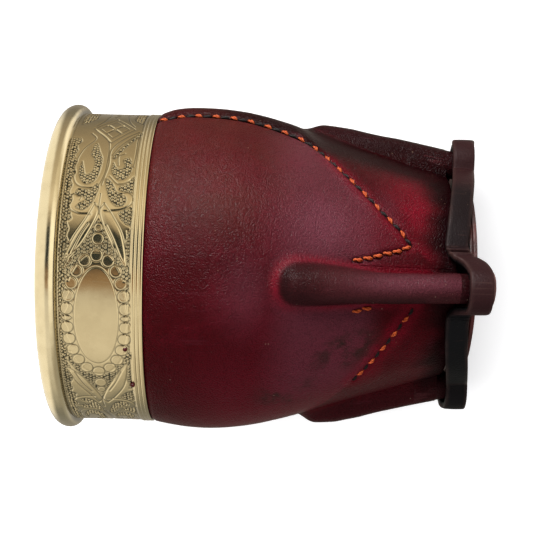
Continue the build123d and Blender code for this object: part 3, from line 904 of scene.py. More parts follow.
def cover_piece(side):
    """One leather cover, with its relief and its masks of dye and of painted light."""
    used = sorted({v for face in cover_faces[side] for v in face})
    new_index = {v: i for i, v in enumerate(used)}
    faces = [[new_index[v] for v in face] for face in cover_faces[side]]
    bearing, z = np.array([points[v] for v in used]).T
    radius, to_foot = skin_radius(bearing, z)

    side_gap = -both_turns(from_seam(SIDE_SEAM), bearing, z)
    flank_gap = -both_turns(from_seam(FLANK_SEAM), bearing, z)
    dart_gap = -both_turns(from_seam(BLIND_DART), bearing, z)
    blind_gap = -both_turns(from_seam(BLIND_FLANK), bearing, z)
    seam_gap = np.minimum(side_gap, flank_gap)
    local = np.where(np.abs(bearing) < 90, bearing, np.mod(bearing, 360.0) - 180.0)
    in_front_half = np.abs(bearing) < 90
    # beside each half's foot, the tongue belongs to that half's own cover
    tongue = (side == "front") == in_front_half
    upper = smoothstep(40.0, 50.0, z)

    relief = unevenness(bearing, z)
    relief -= 0.50 * hump(seam_gap, 0.75)
    relief -= 0.34 * hump(dart_gap, 0.8) + 0.30 * hump(blind_gap, 0.7)
    on_tongue = np.where(tongue & (local > 0), 1.0, 0.0)
    relief += 0.42 * on_tongue * (1 - upper) * smoothstep(3.4, 0.6, seam_gap) * smoothstep(12.0, 20.0, local)
    off_tongue = np.where(~tongue & (local > 0), 1.0, 0.0)
    relief += 1.25 * off_tongue * upper * hump(side_gap - 3.6, 4.2) * smoothstep(88.0, 80.0, z)
    above_dart = smoothstep(-0.6, 0.6, z - 20.9 - 0.39 * (np.abs(local) - 14.5))
    relief += 0.25 * np.where(local < 0, 1.0, 0.0) * above_dart * smoothstep(3.0, 0.6, dart_gap) * (z < 40)
    relief -= 0.50 * smoothstep(TUCK_Z - 1.1, TUCK_Z, z)

    long_foot = smoothstep(60.0, 40.0, np.abs(local))
    foot = smoothstep(1.15, 0.25, to_foot) * smoothstep(57.0, 51.0, z)
    crease = smoothstep(3.4, 0.9, to_foot) * (1 - foot) * smoothstep(60.0, 54.0, z) * long_foot
    side_foot = foot * (1 - long_foot)
    foot *= 0.35 + 0.65 * long_foot
    skirt = smoothstep(47.0, 38.0, z)
    below_seam = np.where(local > 0, smoothstep(-0.4, 0.8, 20.9 + 0.572 * (local - 20.0) - z), 1 - above_dart)
    gusset = below_seam * (1 - foot)
    # the hem above the strap turns near black: black dye, with painted shadow under the strap's edge
    hem = smoothstep(19.0, 11.5, z + 1.1 * np.sin(local * 0.19) + 0.6 * np.sin(local * 0.47 + 1.0))
    # painted shade along the gusset's edge towards +X, where it turns away
    top_dark = smoothstep(53.0, 66.0, local) * 0.86
    seam_dark = 0.62 * hump(side_gap - 2.2, 2.4) * smoothstep(24.0, 34.0, local)
    deep = 0.12 * smoothstep(-45.0, -70.0, local)
    gusset_dark = gusset * np.maximum(np.maximum(top_dark, 0.4 * seam_dark), deep)
    dark_and_shade = np.maximum(gusset_dark, hem * 0.97) * (1 - 0.8 * foot)
    # painted shade on the front and back feet: on their lower flank, at the dome's end and towards their
    # tops; the side feet are darkened too, more on +X
    low_flank = smoothstep(0.8, 4.2, -local * 0.65) * smoothstep(14.0, 20.0, z)
    dark_and_shade = np.maximum(dark_and_shade, 0.66 * foot * long_foot * low_flank)
    dark_and_shade = np.maximum(dark_and_shade, 0.80 * foot * long_foot * hump(z - 52.2, 3.2))
    dark_and_shade = np.maximum(dark_and_shade, 0.50 * foot * long_foot * smoothstep(38.0, 48.0, z))
    dark_and_shade = np.maximum(dark_and_shade, side_foot * np.where(local > 0, 0.80, 0.45))
    past_seam = np.mod(bearing, 180.0)
    dark_strip = smoothstep(66.0, 69.0, past_seam) * smoothstep(118.0, 92.0, past_seam)
    side_dark = upper * (1 - on_tongue) * dark_strip
    dark_and_shade = np.maximum(dark_and_shade, side_dark * (0.92 - 0.40 * smoothstep(56.0, 78.0, z)))
    dark_and_shade = np.maximum(dark_and_shade, 0.8 * hump(seam_gap, 0.45))
    dart_edge = np.maximum(hump(side_gap - 1.0, 1.3), hump(dart_gap - 1.2, 1.7))
    around_dome = smoothstep(38.0, 46.0, z) * smoothstep(2.0, -6.0, local)
    crimson = np.clip(0.75 * crease * (1 - 0.5 * around_dome) + 0.6 * dart_edge * skirt * (1 - foot), 0, 1)
    crimson = np.maximum(crimson, 0.7 * hump(local + 41.0, 9.0) * hump(z - 30.5, 3.6))
    gusset_red = gusset * hump(local - 38.0, 17.0) * hump(z - 20.0, 7.5)
    gusset_red = np.maximum(gusset_red, gusset * hump(local - 16.0, 9.0) * hump(z - 16.5, 5.0))
    crimson = np.maximum(crimson, gusset_red) * (1 - hem)

    cover = new_piece(
        f"{side}_leather_cover",
        on_bearing(radius + relief, bearing, z),
        faces,
        [f"{side}_cover"],
        "cover_leather",
        cover_leather,
        75.0,
    )
    masks = {
        "foot": foot,
        "crimson": crimson,
        "dark_and_shade": dark_and_shade,
        "warm": painted_brown_sheen(local, z, gusset),
        "rose": rose_dye(local, z, gusset),
        "plum_sheen": painted_plum_sheen(local, z, gusset, foot),
        "smudge": moss_smudges(local, z),
    }
    for name, values in masks.items():
        paint(cover, name, np.clip(values, 0, 1))
    thickness = cover.modifiers.new("leather_thickness", "SOLIDIFY")
    thickness.thickness = LEATHER * MM
    thickness.offset = -1.0
    return cover


for side in ("front", "back"):
    cover_piece(side)

# %% [markdown]
# ## Feet
#
# Each foot is a strip of the cover leather rolled round a leather core. Above the hem it is part of
# the skin; below the hem it is a free roll that passes through the strap's loop, and its raw end,
# flattened a little by standing on it, shows underneath.

# %% Foot rolls and ends
ROLL_TOP = 15.0
AROUND = 48


def tube_rings(centres, radii, bearing):
    """Level rings round a foot's middle line. Centres are (reach, height) pairs."""
    angle = np.radians(bearing)
    outwards = np.array([math.sin(angle), -math.cos(angle), 0.0])
    across = np.array([math.cos(angle), math.sin(angle), 0.0])
    turn_angle = np.linspace(0, 2 * math.pi, AROUND, endpoint=False)
    rings = []
    for (reach, height), radius in zip(centres, radii):
        ring = np.outer(reach + radius * np.cos(turn_angle), outwards)
        ring = ring + np.outer(radius * np.sin(turn_angle), across)
        ring[:, 2] = height
        rings.append(ring)
    return np.array(rings)


def capped(rings):
    """Faces of a stack of closed rings with both ends closed."""
    rows, columns = rings.shape[:2]
    faces = grid_faces(rows, columns, close_columns=True)
    faces.append(list(range(columns))[::-1])
    faces.append([(rows - 1) * columns + i for i in range(columns)])
    return faces


def reach_at(bearing, z):
    """How far out a foot's middle line is at each height."""
    line = np.array(FOOT_LINES[bearing])
    return np.interp(z, line[:, 1], line[:, 0])


def foot_roll(name, bearing, bottom):
    """The rolled leather of one foot from inside the skin down to just above the ground."""
    heights = np.array([bottom, bottom + 0.12, bottom + 0.4, *np.linspace(bottom + 0.9, ROLL_TOP, 22)])
    radii = np.full(len(heights), FOOT_RADIUS - 0.03)
    radii[:3] -= np.array([0.55, 0.2, 0.03])
    rings = tube_rings(list(zip(reach_at(bearing, heights), heights)), radii, bearing)
    roll = new_piece(f"{name}_foot_roll", rings, capped(rings), [], "cover_leather", cover_leather)
    z = rings[:, :, 2]
    paint(roll, "foot", np.ones(z.shape))
    # painted shade: the roll darkens down towards the strap's loop
    paint(roll, "dark_and_shade", 0.85 * smoothstep(13.5, 6.5, z))
    return roll


def foot_end(name, bearing, bottom, spread):
    """The raw end of one foot: the core's and the roll's edges pressed into a low dome."""
    heights = bottom + np.array([5.5, 2.4, 1.9, 1.4, 0.95, 0.55, 0.28, 0.1, 0.02, 0.0])
    radii = np.array([2.6, 3.0, 3.45, 3.9, 4.0, 3.75, 3.1, 2.1, 1.1, 0.35])
    radii[2:8] += spread
    rings = tube_rings(list(zip(reach_at(bearing, heights), heights)), radii, bearing)
    angle = np.linspace(0, 2 * math.pi, AROUND, endpoint=False)
    ripple = 1 + 0.022 * np.sin(3 * angle + bearing) + 0.014 * np.sin(7 * angle + 2 + bearing)
    middle = rings.mean(axis=1, keepdims=True)
    rings[:, :, :2] = (middle + (rings - middle) * ripple[None, :, None])[:, :, :2]
    core = f"{name}_foot_core"
    return new_piece(f"{name}_foot_end", rings, capped(rings), [core], "raw_leather", raw_leather)


# the cup stands on its front and back feet; the two side feet are cut a little shorter
for foot_name, foot_bearing, end_z, end_spread in (
    ("front", 0.0, 0.0, 0.45),
    ("right", 90.0, 1.5, 0.0),
    ("back", 180.0, 0.0, 0.45),
    ("left", 270.0, 1.0, 0.0),
):
    foot_roll(foot_name, foot_bearing, end_z + 1.1)
    foot_end(foot_name, foot_bearing, end_z, end_spread)

# %% [markdown]
# ## Base strap
#
# One thick strap is wound round the hem and out round every foot, which locks the feet to the body.
# It dips at each foot and rides up between them, and it wrinkles where it is pinched in beside the
# front and back feet. It is modelled as a ribbon: a rounded rectangle carried along a closed line.

# %% Strap line
STRAP_RADIUS = 28.6
STRAP_HALF_WIDTH = 2.85
STRAP_HALF_THICK = 0.9
LOOP_CENTRE = 30.15
LOOP_RADIUS = 5.5
LOOP_Z = 4.4
STRAP_HEIGHTS = [
    (-90.0, 3.7), (-79.0, 4.0), (-61.0, 5.6), (-33.0, 7.9), (-20.0, 8.5), (-13.5, 8.5), (-11.6, 7.2),
    (-9.6, LOOP_Z), (7.0, LOOP_Z), (11.0, 5.4), (15.0, 8.4), (20.0, 9.5), (39.0, 8.0), (63.0, 5.95),
    (79.0, 4.8), (90.0, 4.5),
]


def arc(radius, first, last, count):
    """Points on the strap's run along the skirt, at bearings given in degrees, as (across, outwards)."""
    return [(radius * math.sin(a), radius * math.cos(a)) for a in np.radians(np.linspace(first, last, count))]


def round_foot(first, last, count):
    """Points on the loop round a foot. Angle 0 is straight across and 90 straight out."""
    turns = np.radians(np.linspace(first, last, count))
    return [(LOOP_RADIUS * math.cos(a), LOOP_CENTRE + LOOP_RADIUS * math.sin(a)) for a in turns]


def loop_outline(pinched):
    """The strap's middle line past one foot, with rising bearing from 45 degrees before it to 45 after."""
    tight_in = arc(STRAP_RADIUS, -45.0, -13.4, 12) + [(-5.7, 28.5)]
    tight_out = [(5.7, 28.5)] + arc(STRAP_RADIUS, 13.4, 45.0, 12)
    slack_out = [(5.9, 31.0), (6.9, 29.2), (7.7, 28.0)] + arc(STRAP_RADIUS, 17.5, 45.0, 11)
    if pinched:
        return tight_in + round_foot(182.0, 26.0, 13) + slack_out
    return tight_in + round_foot(182.0, -2.0, 15) + tight_out


def strap_middle():
    """The strap's whole middle line as bearings, radii and heights, evenly spaced."""
    plan = []
    for foot in (0.0, 90.0, 180.0, 270.0):
        a = math.radians(foot)
        for x, y in loop_outline(foot in (0.0, 180.0))[:-1]:
            plan.append((y * math.sin(a) + x * math.cos(a), x * math.sin(a) - y * math.cos(a)))
    closed = np.array(plan + plan[:1])
    steps = np.hypot(*np.diff(closed, axis=0).T)
    travelled = np.concatenate([[0], np.cumsum(steps)])
    even = np.linspace(0, travelled[-1], 1200, endpoint=False)
    line = np.stack([np.interp(even, travelled, closed[:, i]) for i in (0, 1)], axis=-1)
    for _ in range(9):
        line = 0.5 * line + 0.25 * (np.roll(line, 1, axis=0) + np.roll(line, -1, axis=0))
    bearing = np.degrees(np.arctan2(line[:, 0], -line[:, 1]))
    local = np.mod(bearing + 90.0, HALF_TURN) - 90.0
    stops = np.array(STRAP_HEIGHTS)
    height = np.interp(local, stops[:, 0], stops[:, 1])
    for _ in range(30):
        height = 0.5 * height + 0.25 * (np.roll(height, 1) + np.roll(height, -1))
    return line, height, local


strap_line, strap_height, strap_local = strap_middle()
print("strap length in mm:", round(float(np.hypot(*np.diff(strap_line, axis=0).T).sum()), 1))

# %% Strap ribbon
EDGE_ROUND = 0.45


def rounded_rectangle(half_wide, half_high, corner, steps=4):
    """Outline of a rounded rectangle, anticlockwise, as (x, y) points."""
    outline = []
    for quadrant in range(4):
        start = quadrant * math.pi / 2
        sx = 1 if quadrant in (0, 3) else -1
        sy = 1 if quadrant in (0, 1) else -1
        for a in np.linspace(start, start + math.pi / 2, steps):
            x = sx * (half_wide - corner) + corner * math.cos(a)
            outline.append((x, sy * (half_high - corner) + corner * math.sin(a)))
    return np.array(outline)


def strap_profile():
    """Cross section of the strap: thickness outwards, width upwards, with points along the wide faces."""
    corners = rounded_rectangle(STRAP_HALF_THICK, STRAP_HALF_WIDTH, EDGE_ROUND)
    dense = []
    for a, b in zip(corners, np.roll(corners, -1, axis=0)):
        pieces = max(1, int(np.hypot(*(b - a)) / 0.55))
        dense.extend(a + (b - a) * i / pieces for i in range(pieces))
    return np.array(dense)


profile = strap_profile()
tangent = np.roll(strap_line, -1, axis=0) - np.roll(strap_line, 1, axis=0)
tangent /= np.linalg.norm(tangent, axis=1, keepdims=True)
outward = np.stack([tangent[:, 1], -tangent[:, 0]], axis=-1)
strap_points = np.zeros((len(strap_line), len(profile), 3))
strap_points[:, :, :2] = strap_line[:, None, :] + outward[:, None, :] * profile[None, :, :1]
strap_points[:, :, 2] = strap_height[:, None] + profile[None, :, 1]
pinch_fold = hump(strap_local - 16.5, 2.6)[:, None]
folds = 0.34 * np.sin((strap_local[:, None] - 12.0) * 2.4 + 0.25 * profile[None, :, 1]) * pinch_fold
blind_fold = hump(strap_local + 15.5, 2.2)[:, None]
folds = folds + 0.16 * np.sin(strap_local[:, None] * 2.9) * blind_fold
face_side = np.sign(profile[None, :, 0])
crown = 0.10 * (1 - (profile[None, :, 1] / STRAP_HALF_WIDTH) ** 2) * face_side
strap_points[:, :, :2] += outward[:, None, :] * (folds + crown)[:, :, None]
lean_out = 0.10 * smoothstep(9.0, 18.0, np.abs(strap_local)) * smoothstep(84.0, 76.0, np.abs(strap_local))
strap_points[:, :, :2] += outward[:, None, :] * (lean_out[:, None] * profile[None, :, 1])[:, :, None]
strap_faces = grid_faces(len(strap_line), len(profile), close_rows=True, close_columns=True)
base_strap = new_piece(
    "wound_base_strap", strap_points, strap_faces, ["base_strap"], "strap_leather", strap_leather, 40
)

# the edge mask: lighter rims on the outer face and on the crests of the pinched folds, wear with a painted
# highlight
near_edge = smoothstep(0.62, 0.95, np.abs(profile[:, 1]) / STRAP_HALF_WIDTH) * (profile[:, 0] > 0)
inside = (profile[:, 0] < -0.3).astype(float)
edge_mask = near_edge[None, :] * (0.4 + 0.6 * pinch_fold)
edge_mask = np.maximum(edge_mask, 0.55 * pinch_fold * np.clip(folds * 3, 0, 1))
# painted shade: the strap darkens on the run on the front foot's -X side and half a turn round, on its inner
# face and on the loops round the side feet; the run beside each long foot is darker too
blind_side = smoothstep(-8.0, -14.0, strap_local)[:, None] * smoothstep(-100.0, -60.0, strap_local)[:, None]
near_run = smoothstep(15.0, 22.0, strap_local) * smoothstep(64.0, 50.0, strap_local)
side_loop = smoothstep(-60.0, -74.0, strap_local) * smoothstep(-104.0, -94.0, strap_local)
dark_and_shade_mask = np.maximum(blind_side * 0.95, inside[None, :])
dark_and_shade_mask = np.maximum(dark_and_shade_mask, np.maximum(0.72 * near_run, 0.9 * side_loop)[:, None])
paint(base_strap, "edge", np.broadcast_to(edge_mask, strap_points.shape[:2]))
paint(base_strap, "dark_and_shade", np.broadcast_to(dark_and_shade_mask, strap_points.shape[:2]))

# %% [markdown]
# ## Sole
#
# The hem is closed by a sole of two plies. Its edge shows as a red-brown line beside the strap, and
# it is notched round each foot.

# %% Sole plies
SOLE_RADIUS = 27.4
SOLE_NOTCH = 4.35
SOLE_STEPS = 720


def sole_outline(inset):
    """Radius of the sole at each bearing, with its four notches, moved in by inset."""
    bearing = np.linspace(0, 360, SOLE_STEPS, endpoint=False)
    local = np.radians(np.mod(bearing + 45.0, 90.0) - 45.0)
    notch_centre = FOOT_REACH + FOOT_LEAN * (SOLE_Z + 1)
    half_chord = (SOLE_NOTCH + inset) ** 2 - (notch_centre * np.sin(local)) ** 2
    notch = notch_centre * np.cos(local) - np.sqrt(np.clip(half_chord, 0, None))
    radius = np.full(SOLE_STEPS, SOLE_RADIUS - inset)
    return bearing, np.where(half_chord > 0, np.minimum(radius, notch), radius)


def sole_rings(low, high, reach):
    """Rings up one ply's edge, from its lower middle to its upper middle."""
    rings = []
    for inset, z in [(20, low), (1.2, low), (0.25, low), (0.04, low + 0.15), (0.0, (low + high) / 2)]:
        rings.append((inset - reach, z))
    for inset, z in [(0.04, high - 0.15), (0.25, high), (1.2, high), (20, high)]:
        rings.append((inset - reach, z))
    made = []
    for inset, z in rings:
        bearing, radius = sole_outline(inset)
        made.append(on_bearing(np.maximum(radius, 1.0), bearing, z))
    return np.array(made)


ply_split = SOLE_Z + 1.05
lower_ply = sole_rings(SOLE_Z, ply_split, 0.0)
upper_ply = sole_rings(ply_split + 0.06, HEM_Z, -0.12)
sole_points = np.concatenate([lower_ply.reshape(-1, 3), upper_ply.reshape(-1, 3)])
sole_faces = capped(lower_ply)
sole_faces += [[v + lower_ply.shape[0] * SOLE_STEPS for v in face] for face in capped(upper_ply)]
new_piece("two_ply_sole", sole_points, sole_faces, ["sole_plate"], "sole_leather", sole_leather, 45)

# %% [markdown]
# ## Thread
#
# Two waxed threads run along every seam, so that an orange stitch and a black one take turns. A
# stitch is a short twist of two strands: it stands highest in its middle and dives into the leather
# at both ends. One stitch is modelled once and laid along the seams many times.

# %% One stitch
STRAND_RADIUS = 0.29
STRAND_SIDES = 8
STITCH_RINGS = 11
TWISTS = 0.75


def one_stitch(length):
    """Points of a stitch along x, with y across and z outwards, and how deep each is in the twist."""
    points_list, depth_list = [], []
    along = np.linspace(-0.5, 0.5, STITCH_RINGS)
    for strand in (0.0, math.pi):
        phase = strand + 2 * math.pi * TWISTS * along + 0.6
        taper = np.sqrt(np.clip(1.02 - (2 * along) ** 4, 0.05, 1))
        centre_y = 0.19 * np.cos(phase) * taper
        centre_z = 0.15 * np.sin(phase) * taper + 0.36 * (1 - (2 * along) ** 2) - 0.20
        side_angle = np.linspace(0, 2 * math.pi, STRAND_SIDES, endpoint=False)
        y = centre_y[:, None] + STRAND_RADIUS * taper[:, None] * np.cos(side_angle)
        z = centre_z[:, None] + STRAND_RADIUS * taper[:, None] * np.sin(side_angle)
        x = np.broadcast_to(along[:, None] * length, y.shape)
        points_list.append(np.stack([x, y, z], axis=-1))
        toward = np.cos(side_angle)[None, :] * np.cos(phase)[:, None]
        toward = toward + np.sin(side_angle)[None, :] * np.sin(phase)[:, None]
        depth_list.append(np.clip(-toward, 0, 1))
    return points_list, depth_list


def stitch_spots(corners, pitch, first, step):
    """Middles and ends of stitches along a seam: every step-th place, from the first."""
    fine_line = smooth_line(corners, 400)
    radius, _ = skin_radius(fine_line[:, 0], fine_line[:, 1])
    path = on_bearing(radius, fine_line[:, 0], fine_line[:, 1])
    travelled = np.concatenate([[0], np.cumsum(np.linalg.norm(np.diff(path, axis=0), axis=1))])
    count = int(round(travelled[-1] / pitch))
    marks = np.linspace(0, travelled[-1], count + 1)
    at = np.stack([np.interp(marks, travelled, path[:, i]) for i in range(3)], axis=-1)
    return [(at[i], at[i + 1]) for i in range(first, count, step)]


def outward_of(point):
    """Direction straight out of the leather at a point, from the slope of the skin."""
    bearing = math.degrees(math.atan2(point[0], -point[1]))
    z = point[2]
    bearings = np.array([bearing - 1, bearing + 1, bearing, bearing])
    heights = np.array([z, z, z - 0.6, z + 0.6])
    near, _ = skin_radius(bearings, heights)
    corners = on_bearing(near, bearings, heights)
    normal = np.cross(corners[1] - corners[0], corners[3] - corners[2])
    return normal / np.linalg.norm(normal)


print("one stitch has", STITCH_RINGS * STRAND_SIDES * 2, "points")

# %% Stitch rows
SEAM_PITCH = 2.25
FLANK_PITCH = 2.45


def thread_group(name, spots, node, slot, material, skew, lift, fill):
    """All the stitches of one thread on one side of the cup, as one mesh.

    Skew turns each stitch on the leather, lift raises it, and fill is the share of a step that shows.
    """
    all_points, all_faces, all_depth = [], [], []
    for start, end in spots:
        run = end - start
        length = np.linalg.norm(run) * fill
        out = outward_of((start + end) / 2)
        x_axis = run / np.linalg.norm(run)
        y_axis = np.cross(out, x_axis)
        y_axis /= np.linalg.norm(y_axis)
        x_axis, y_axis = (
            x_axis * math.cos(skew) + y_axis * math.sin(skew),
            y_axis * math.cos(skew) - x_axis * math.sin(skew),
        )
        out = np.cross(x_axis, y_axis)
        strands_made, depths = one_stitch(length)
        for strand, depth in zip(strands_made, depths):
            first = sum(len(p) for p in all_points)
            placed = (start + end) / 2 + out * lift + strand.reshape(-1, 3) @ np.array([x_axis, y_axis, out])
            rings = strand.shape[0]
            faces = grid_faces(rings, STRAND_SIDES, close_columns=True, first=first)
            faces.append([first + i for i in range(STRAND_SIDES)][::-1])
            faces.append([first + (rings - 1) * STRAND_SIDES + i for i in range(STRAND_SIDES)])
            all_points.append(placed)
            all_faces.extend(faces)
            all_depth.append(depth.ravel())
    group = new_piece(name, np.concatenate(all_points), all_faces, [node], slot, material, 80)
    # painted shade: the groove mask darkens each strand where it faces the other one
    paint(group, "groove", np.concatenate(all_depth) * 0.8)
    return group


SEAM_TOP = (72.6, 84.2)
seam_row = [SEAM_TOP, *SIDE_SEAM[1:]]
for side, half in (("front", 0.0), ("back", HALF_TURN)):
    turned_rows = [[(b + half, z) for b, z in row] for row in (seam_row, FLANK_SEAM, BLIND_DART, BLIND_FLANK)]
    seam, flank, dart, blind = turned_rows
    orange = stitch_spots(seam, SEAM_PITCH, 0, 2) + stitch_spots(dart, SEAM_PITCH, 1, 2)
    orange += stitch_spots(flank, FLANK_PITCH, 0, 1) + stitch_spots(blind, FLANK_PITCH, 0, 1)
    black = stitch_spots(seam, SEAM_PITCH, 1, 2) + stitch_spots(dart, SEAM_PITCH, 0, 2)
    for colour, spots, finish, skew, lift, fill in (
        ("orange", orange, orange_thread, -0.24, -0.02, 0.94),
        ("black", black, black_thread, 0.2, -0.18, 1.0),
    ):
        node = f"{side}_{colour}_thread"
        thread_group(f"{side}_{colour}_stitches", spots, node, f"{colour}_thread", finish, skew, lift, fill)

# %% [markdown]
# ## Collar
#
# The collar is silver alloy: a chased band, a rolled lip, three fine reeds along its lower edge, and
# a sleeve inside the mouth. The round parts are turned, as on a lathe, from one outline each.

# %% Turned parts
TURN_STEPS = 360


def turned_piece(name, outline, node, slot, material, closed=True, tarnish=None, wobble=0.0):
    """A round piece turned from an outline of (radius, height) points."""
    bearing = np.linspace(0, 360, TURN_STEPS, endpoint=False)
    radius, z = np.array(outline, float).T
    a = np.radians(bearing)[None, :]
    dents = wobble * (np.sin(3 * a + 0.7) + 0.6 * np.sin(7 * a + 2.0) + 0.4 * np.sin(13 * a + 0.4))
    spots = on_bearing(radius[:, None] + dents, bearing[None, :], z[:, None])
    faces = grid_faces(len(radius), TURN_STEPS, close_rows=closed, close_columns=True)
    piece = new_piece(name, spots, faces, [node], slot, material, 55)
    if tarnish is not None:
        paint(piece, "tarnish", np.repeat(np.asarray(tarnish, float), TURN_STEPS))
    return piece


JOINT_Z = LIP_Z + 0.85
lip_outer = smooth_line(
    [(BAND_RADIUS - 0.15, JOINT_Z), (BAND_RADIUS + 0.35, JOINT_Z + 0.02), (42.5, 105.05), (43.1, 106.3),
     (42.95, 107.75), (42.2, 109.0), (41.0, 109.75), (39.6, 109.98), (37.6, 109.7), (35.9, 108.9),
     (34.85, 107.8), (34.52, 106.7)],
    72,
)
lip_inner = [(34.9, 106.65), (BAND_RADIUS - 0.8, 106.65), (BAND_RADIUS - 0.8, JOINT_Z)]
lip_outline = list(map(tuple, lip_outer)) + lip_inner
lip_tarnish = [0.8 * float(hump(z - JOINT_Z, 0.22)) if r > 40 else 0.0 for r, z in lip_outline]
turned_piece("rolled_silver_lip", lip_outline, "rolled_lip", "lip_metal", lip_metal, True, lip_tarnish, 0.05)

liner_wall = 0.75
liner_outline = [
    (liner_high[0] - liner_wall, liner_high[2]), (liner_high[0] - liner_wall, liner_low[2] + 0.3),
    (liner_high[0] - liner_wall + 0.12, liner_low[2]), (liner_high[0] - 0.12, liner_low[2]),
    (liner_high[0], liner_low[2] + 0.3), (liner_high[0], liner_high[2]),
]
turned_piece("mouth_sleeve", liner_outline, "mouth_liner", "liner_metal", liner_metal)

REED_COUNT = 3
REED_PITCH = 0.9
reed_outline, reed_tarnish = [], []
for reed in range(REED_COUNT):
    middle_z = COLLAR_Z + REED_PITCH * (reed + 0.5)
    for a in np.radians(np.linspace(-82, 82, 13)):
        reed_outline.append((BAND_RADIUS + 0.17 * math.cos(a), middle_z + 0.45 * math.sin(a)))
        reed_tarnish.append(0.6 * abs(math.sin(a)) ** 12)
reed_outline += [(BAND_RADIUS - 0.5, COLLAR_Z + REED_PITCH * REED_COUNT), (BAND_RADIUS - 0.5, COLLAR_Z)]
reed_tarnish += [0.9, 0.9]
turned_piece("three_reeds", reed_outline, "reeded_edge", "reed_metal", reed_metal, True, reed_tarnish)

# %% [markdown]
# ### Chased band
#
# The smith draws the pattern with chasing tools: ring punches round a plain polished oval, domed
# leaves, scroll lines chased into the smooth metal, and patches of tiny pearl punches whose ground is
# left dark. The pattern is a quarter of the band, mirrored, so it is drawn once. It is worked out as a
# height map from curves and punched into a dense grid, since bump alone would look flat at the edge.

# %% Band pattern
OVAL_BEARING = -11.7
OVAL_Z = 95.5
QUARTER_COLUMNS = 410
BAND_ROWS = 108
QUARTER_LENGTH = BAND_RADIUS * math.pi / 2
BAND_FOOT = COLLAR_Z + REED_PITCH * REED_COUNT - 0.1

pattern_x, pattern_y = np.meshgrid(
    np.linspace(0, QUARTER_LENGTH, QUARTER_COLUMNS + 1), np.linspace(BAND_FOOT, JOINT_Z, BAND_ROWS) - OVAL_Z
)


def chase(corners, count=40):
    """A smooth chased line, from corners in mm across and up from the middle of the oval."""
    return smooth_line(corners, count)


def inside_shape(outline):
    """Signed distance to a closed outline: below zero inside it."""
    closed = np.vstack([outline, outline[:1]])
    crossings = np.zeros(pattern_x.shape, bool)
    for (ax, ay), (bx, by) in zip(closed[:-1], closed[1:]):
        between = (ay > pattern_y) != (by > pattern_y)
        slope = (bx - ax) / (by - ay) if by != ay else 0.0
        crossings ^= between & (pattern_x < ax + slope * (pattern_y - ay))
    away = distance_to_line(pattern_x, pattern_y, closed)
    return np.where(crossings, -away, away)


def pearl_ground(spacing, seed):
    """Distance in mm from each point to the nearest pearl of a loose honeycomb."""
    rng = np.random.default_rng(seed)
    table_size = 256
    jitter = rng.uniform(-0.16, 0.16, (table_size, table_size, 2)) * spacing
    row_height = spacing * 0.866
    row = np.floor(pattern_y / row_height).astype(int)
    nearest_pearl = np.full(pattern_x.shape, 1e9)
    for dr in (-1, 0, 1, 2):
        r = row + dr
        offset = np.where(r % 2 == 0, 0.0, 0.5) * spacing
        column = np.floor((pattern_x - offset) / spacing).astype(int)
        for dc in (-1, 0, 1, 2):
            c = column + dc
            push = jitter[r % table_size, c % table_size]
            px = c * spacing + offset + push[..., 0]
            py = r * row_height + push[..., 1]
            nearest_pearl = np.minimum(nearest_pearl, np.hypot(pattern_x - px, pattern_y - py))
    return nearest_pearl


print("band pattern grid:", pattern_x.shape)

# %% Band shapes
OVAL_HALF = (12.3, 5.3)
RING_HALF = (15.0, 7.0)
RING_COUNT = 23
DISC_RADIUS = 1.42

fine_ring = np.radians(np.linspace(0, 360, 1441))
ring_curve = np.stack([RING_HALF[0] * np.cos(fine_ring), RING_HALF[1] * np.sin(fine_ring)], axis=-1)
ring_travel = np.concatenate([[0], np.cumsum(np.hypot(*np.diff(ring_curve, axis=0).T))])
discs = [(18.9, -0.15, 1.35), (21.6, -0.15, 0.95)]
for share in np.arange(RING_COUNT + 1) / RING_COUNT:
    spot = [float(np.interp(share * ring_travel[-1], ring_travel, ring_curve[:, i])) for i in (0, 1)]
    if spot[0] > -2 and share < 1:
        discs.append((spot[0], spot[1], DISC_RADIUS))

leaf_shapes = [
    [(27.5, 1.1), (23.5, 3.0), (19.0, 5.6), (14.0, 7.6), (17.0, 4.2), (21.5, 1.6), (25.5, 0.2)],
    [(27.5, -1.1), (24.5, -3.2), (19.5, -5.8), (12.5, -6.9), (16.5, -4.0), (21.5, -1.5), (25.5, -0.2)],
]
pearl_patches = [
    [(26.4, 5.5), (25.9, 4.0), (26.9, 2.5), (29.0, 1.3), (31.9, 0.6), (32.7, 1.3), (31.2, 2.8), (31.2, 5.6),
     (29.6, 5.6), (29.4, 4.1), (28.3, 3.5), (27.3, 4.8)],
    [(27.2, -5.5), (27.1, -3.8), (28.7, -2.3), (31.9, -1.2), (34.4, -0.9), (33.4, -2.3), (31.0, -3.5),
     (30.3, -4.5), (29.4, -5.9), (28.3, -6.1)],
    [(39.7, 5.4), (37.2, 5.8), (34.7, 5.4), (32.9, 4.0), (33.5, 2.1), (36.1, 1.0), (40.4, 0.7), (42.9, 1.5),
     (46.5, 2.8), (42.6, 3.5), (40.8, 2.6), (38.6, 2.2), (36.1, 2.9), (35.6, 4.3), (37.6, 4.9)],
    [(39.4, -2.1), (36.5, -2.1), (34.3, -3.7), (34.9, -5.8), (37.6, -6.7), (40.9, -5.9), (40.3, -4.5),
     (38.5, -5.1), (37.4, -4.2), (37.6, -3.1)],
    [(22.0, -7.6), (23.0, -5.9), (25.1, -4.8), (26.4, -7.6)],
    [(30.6, -7.6), (30.9, -6.0), (31.2, -4.4), (32.2, -4.4), (33.3, -6.2), (35.1, -7.6)],
    [(22.6, 8.6), (23.7, 6.4), (25.6, 8.0)],
    [(56.0, 7.8), (58.5, 5.4), (61.5, 4.6), (64.3, 5.2), (64.3, 7.8)],
    [(57.0, -7.5), (59.5, -5.4), (62.0, -5.0), (64.3, -5.6), (64.3, -7.5)],
]
pearl_row = [(41.1, -2.2), (44.0, -3.6), (47.6, -5.7), (51.5, -7.7)]
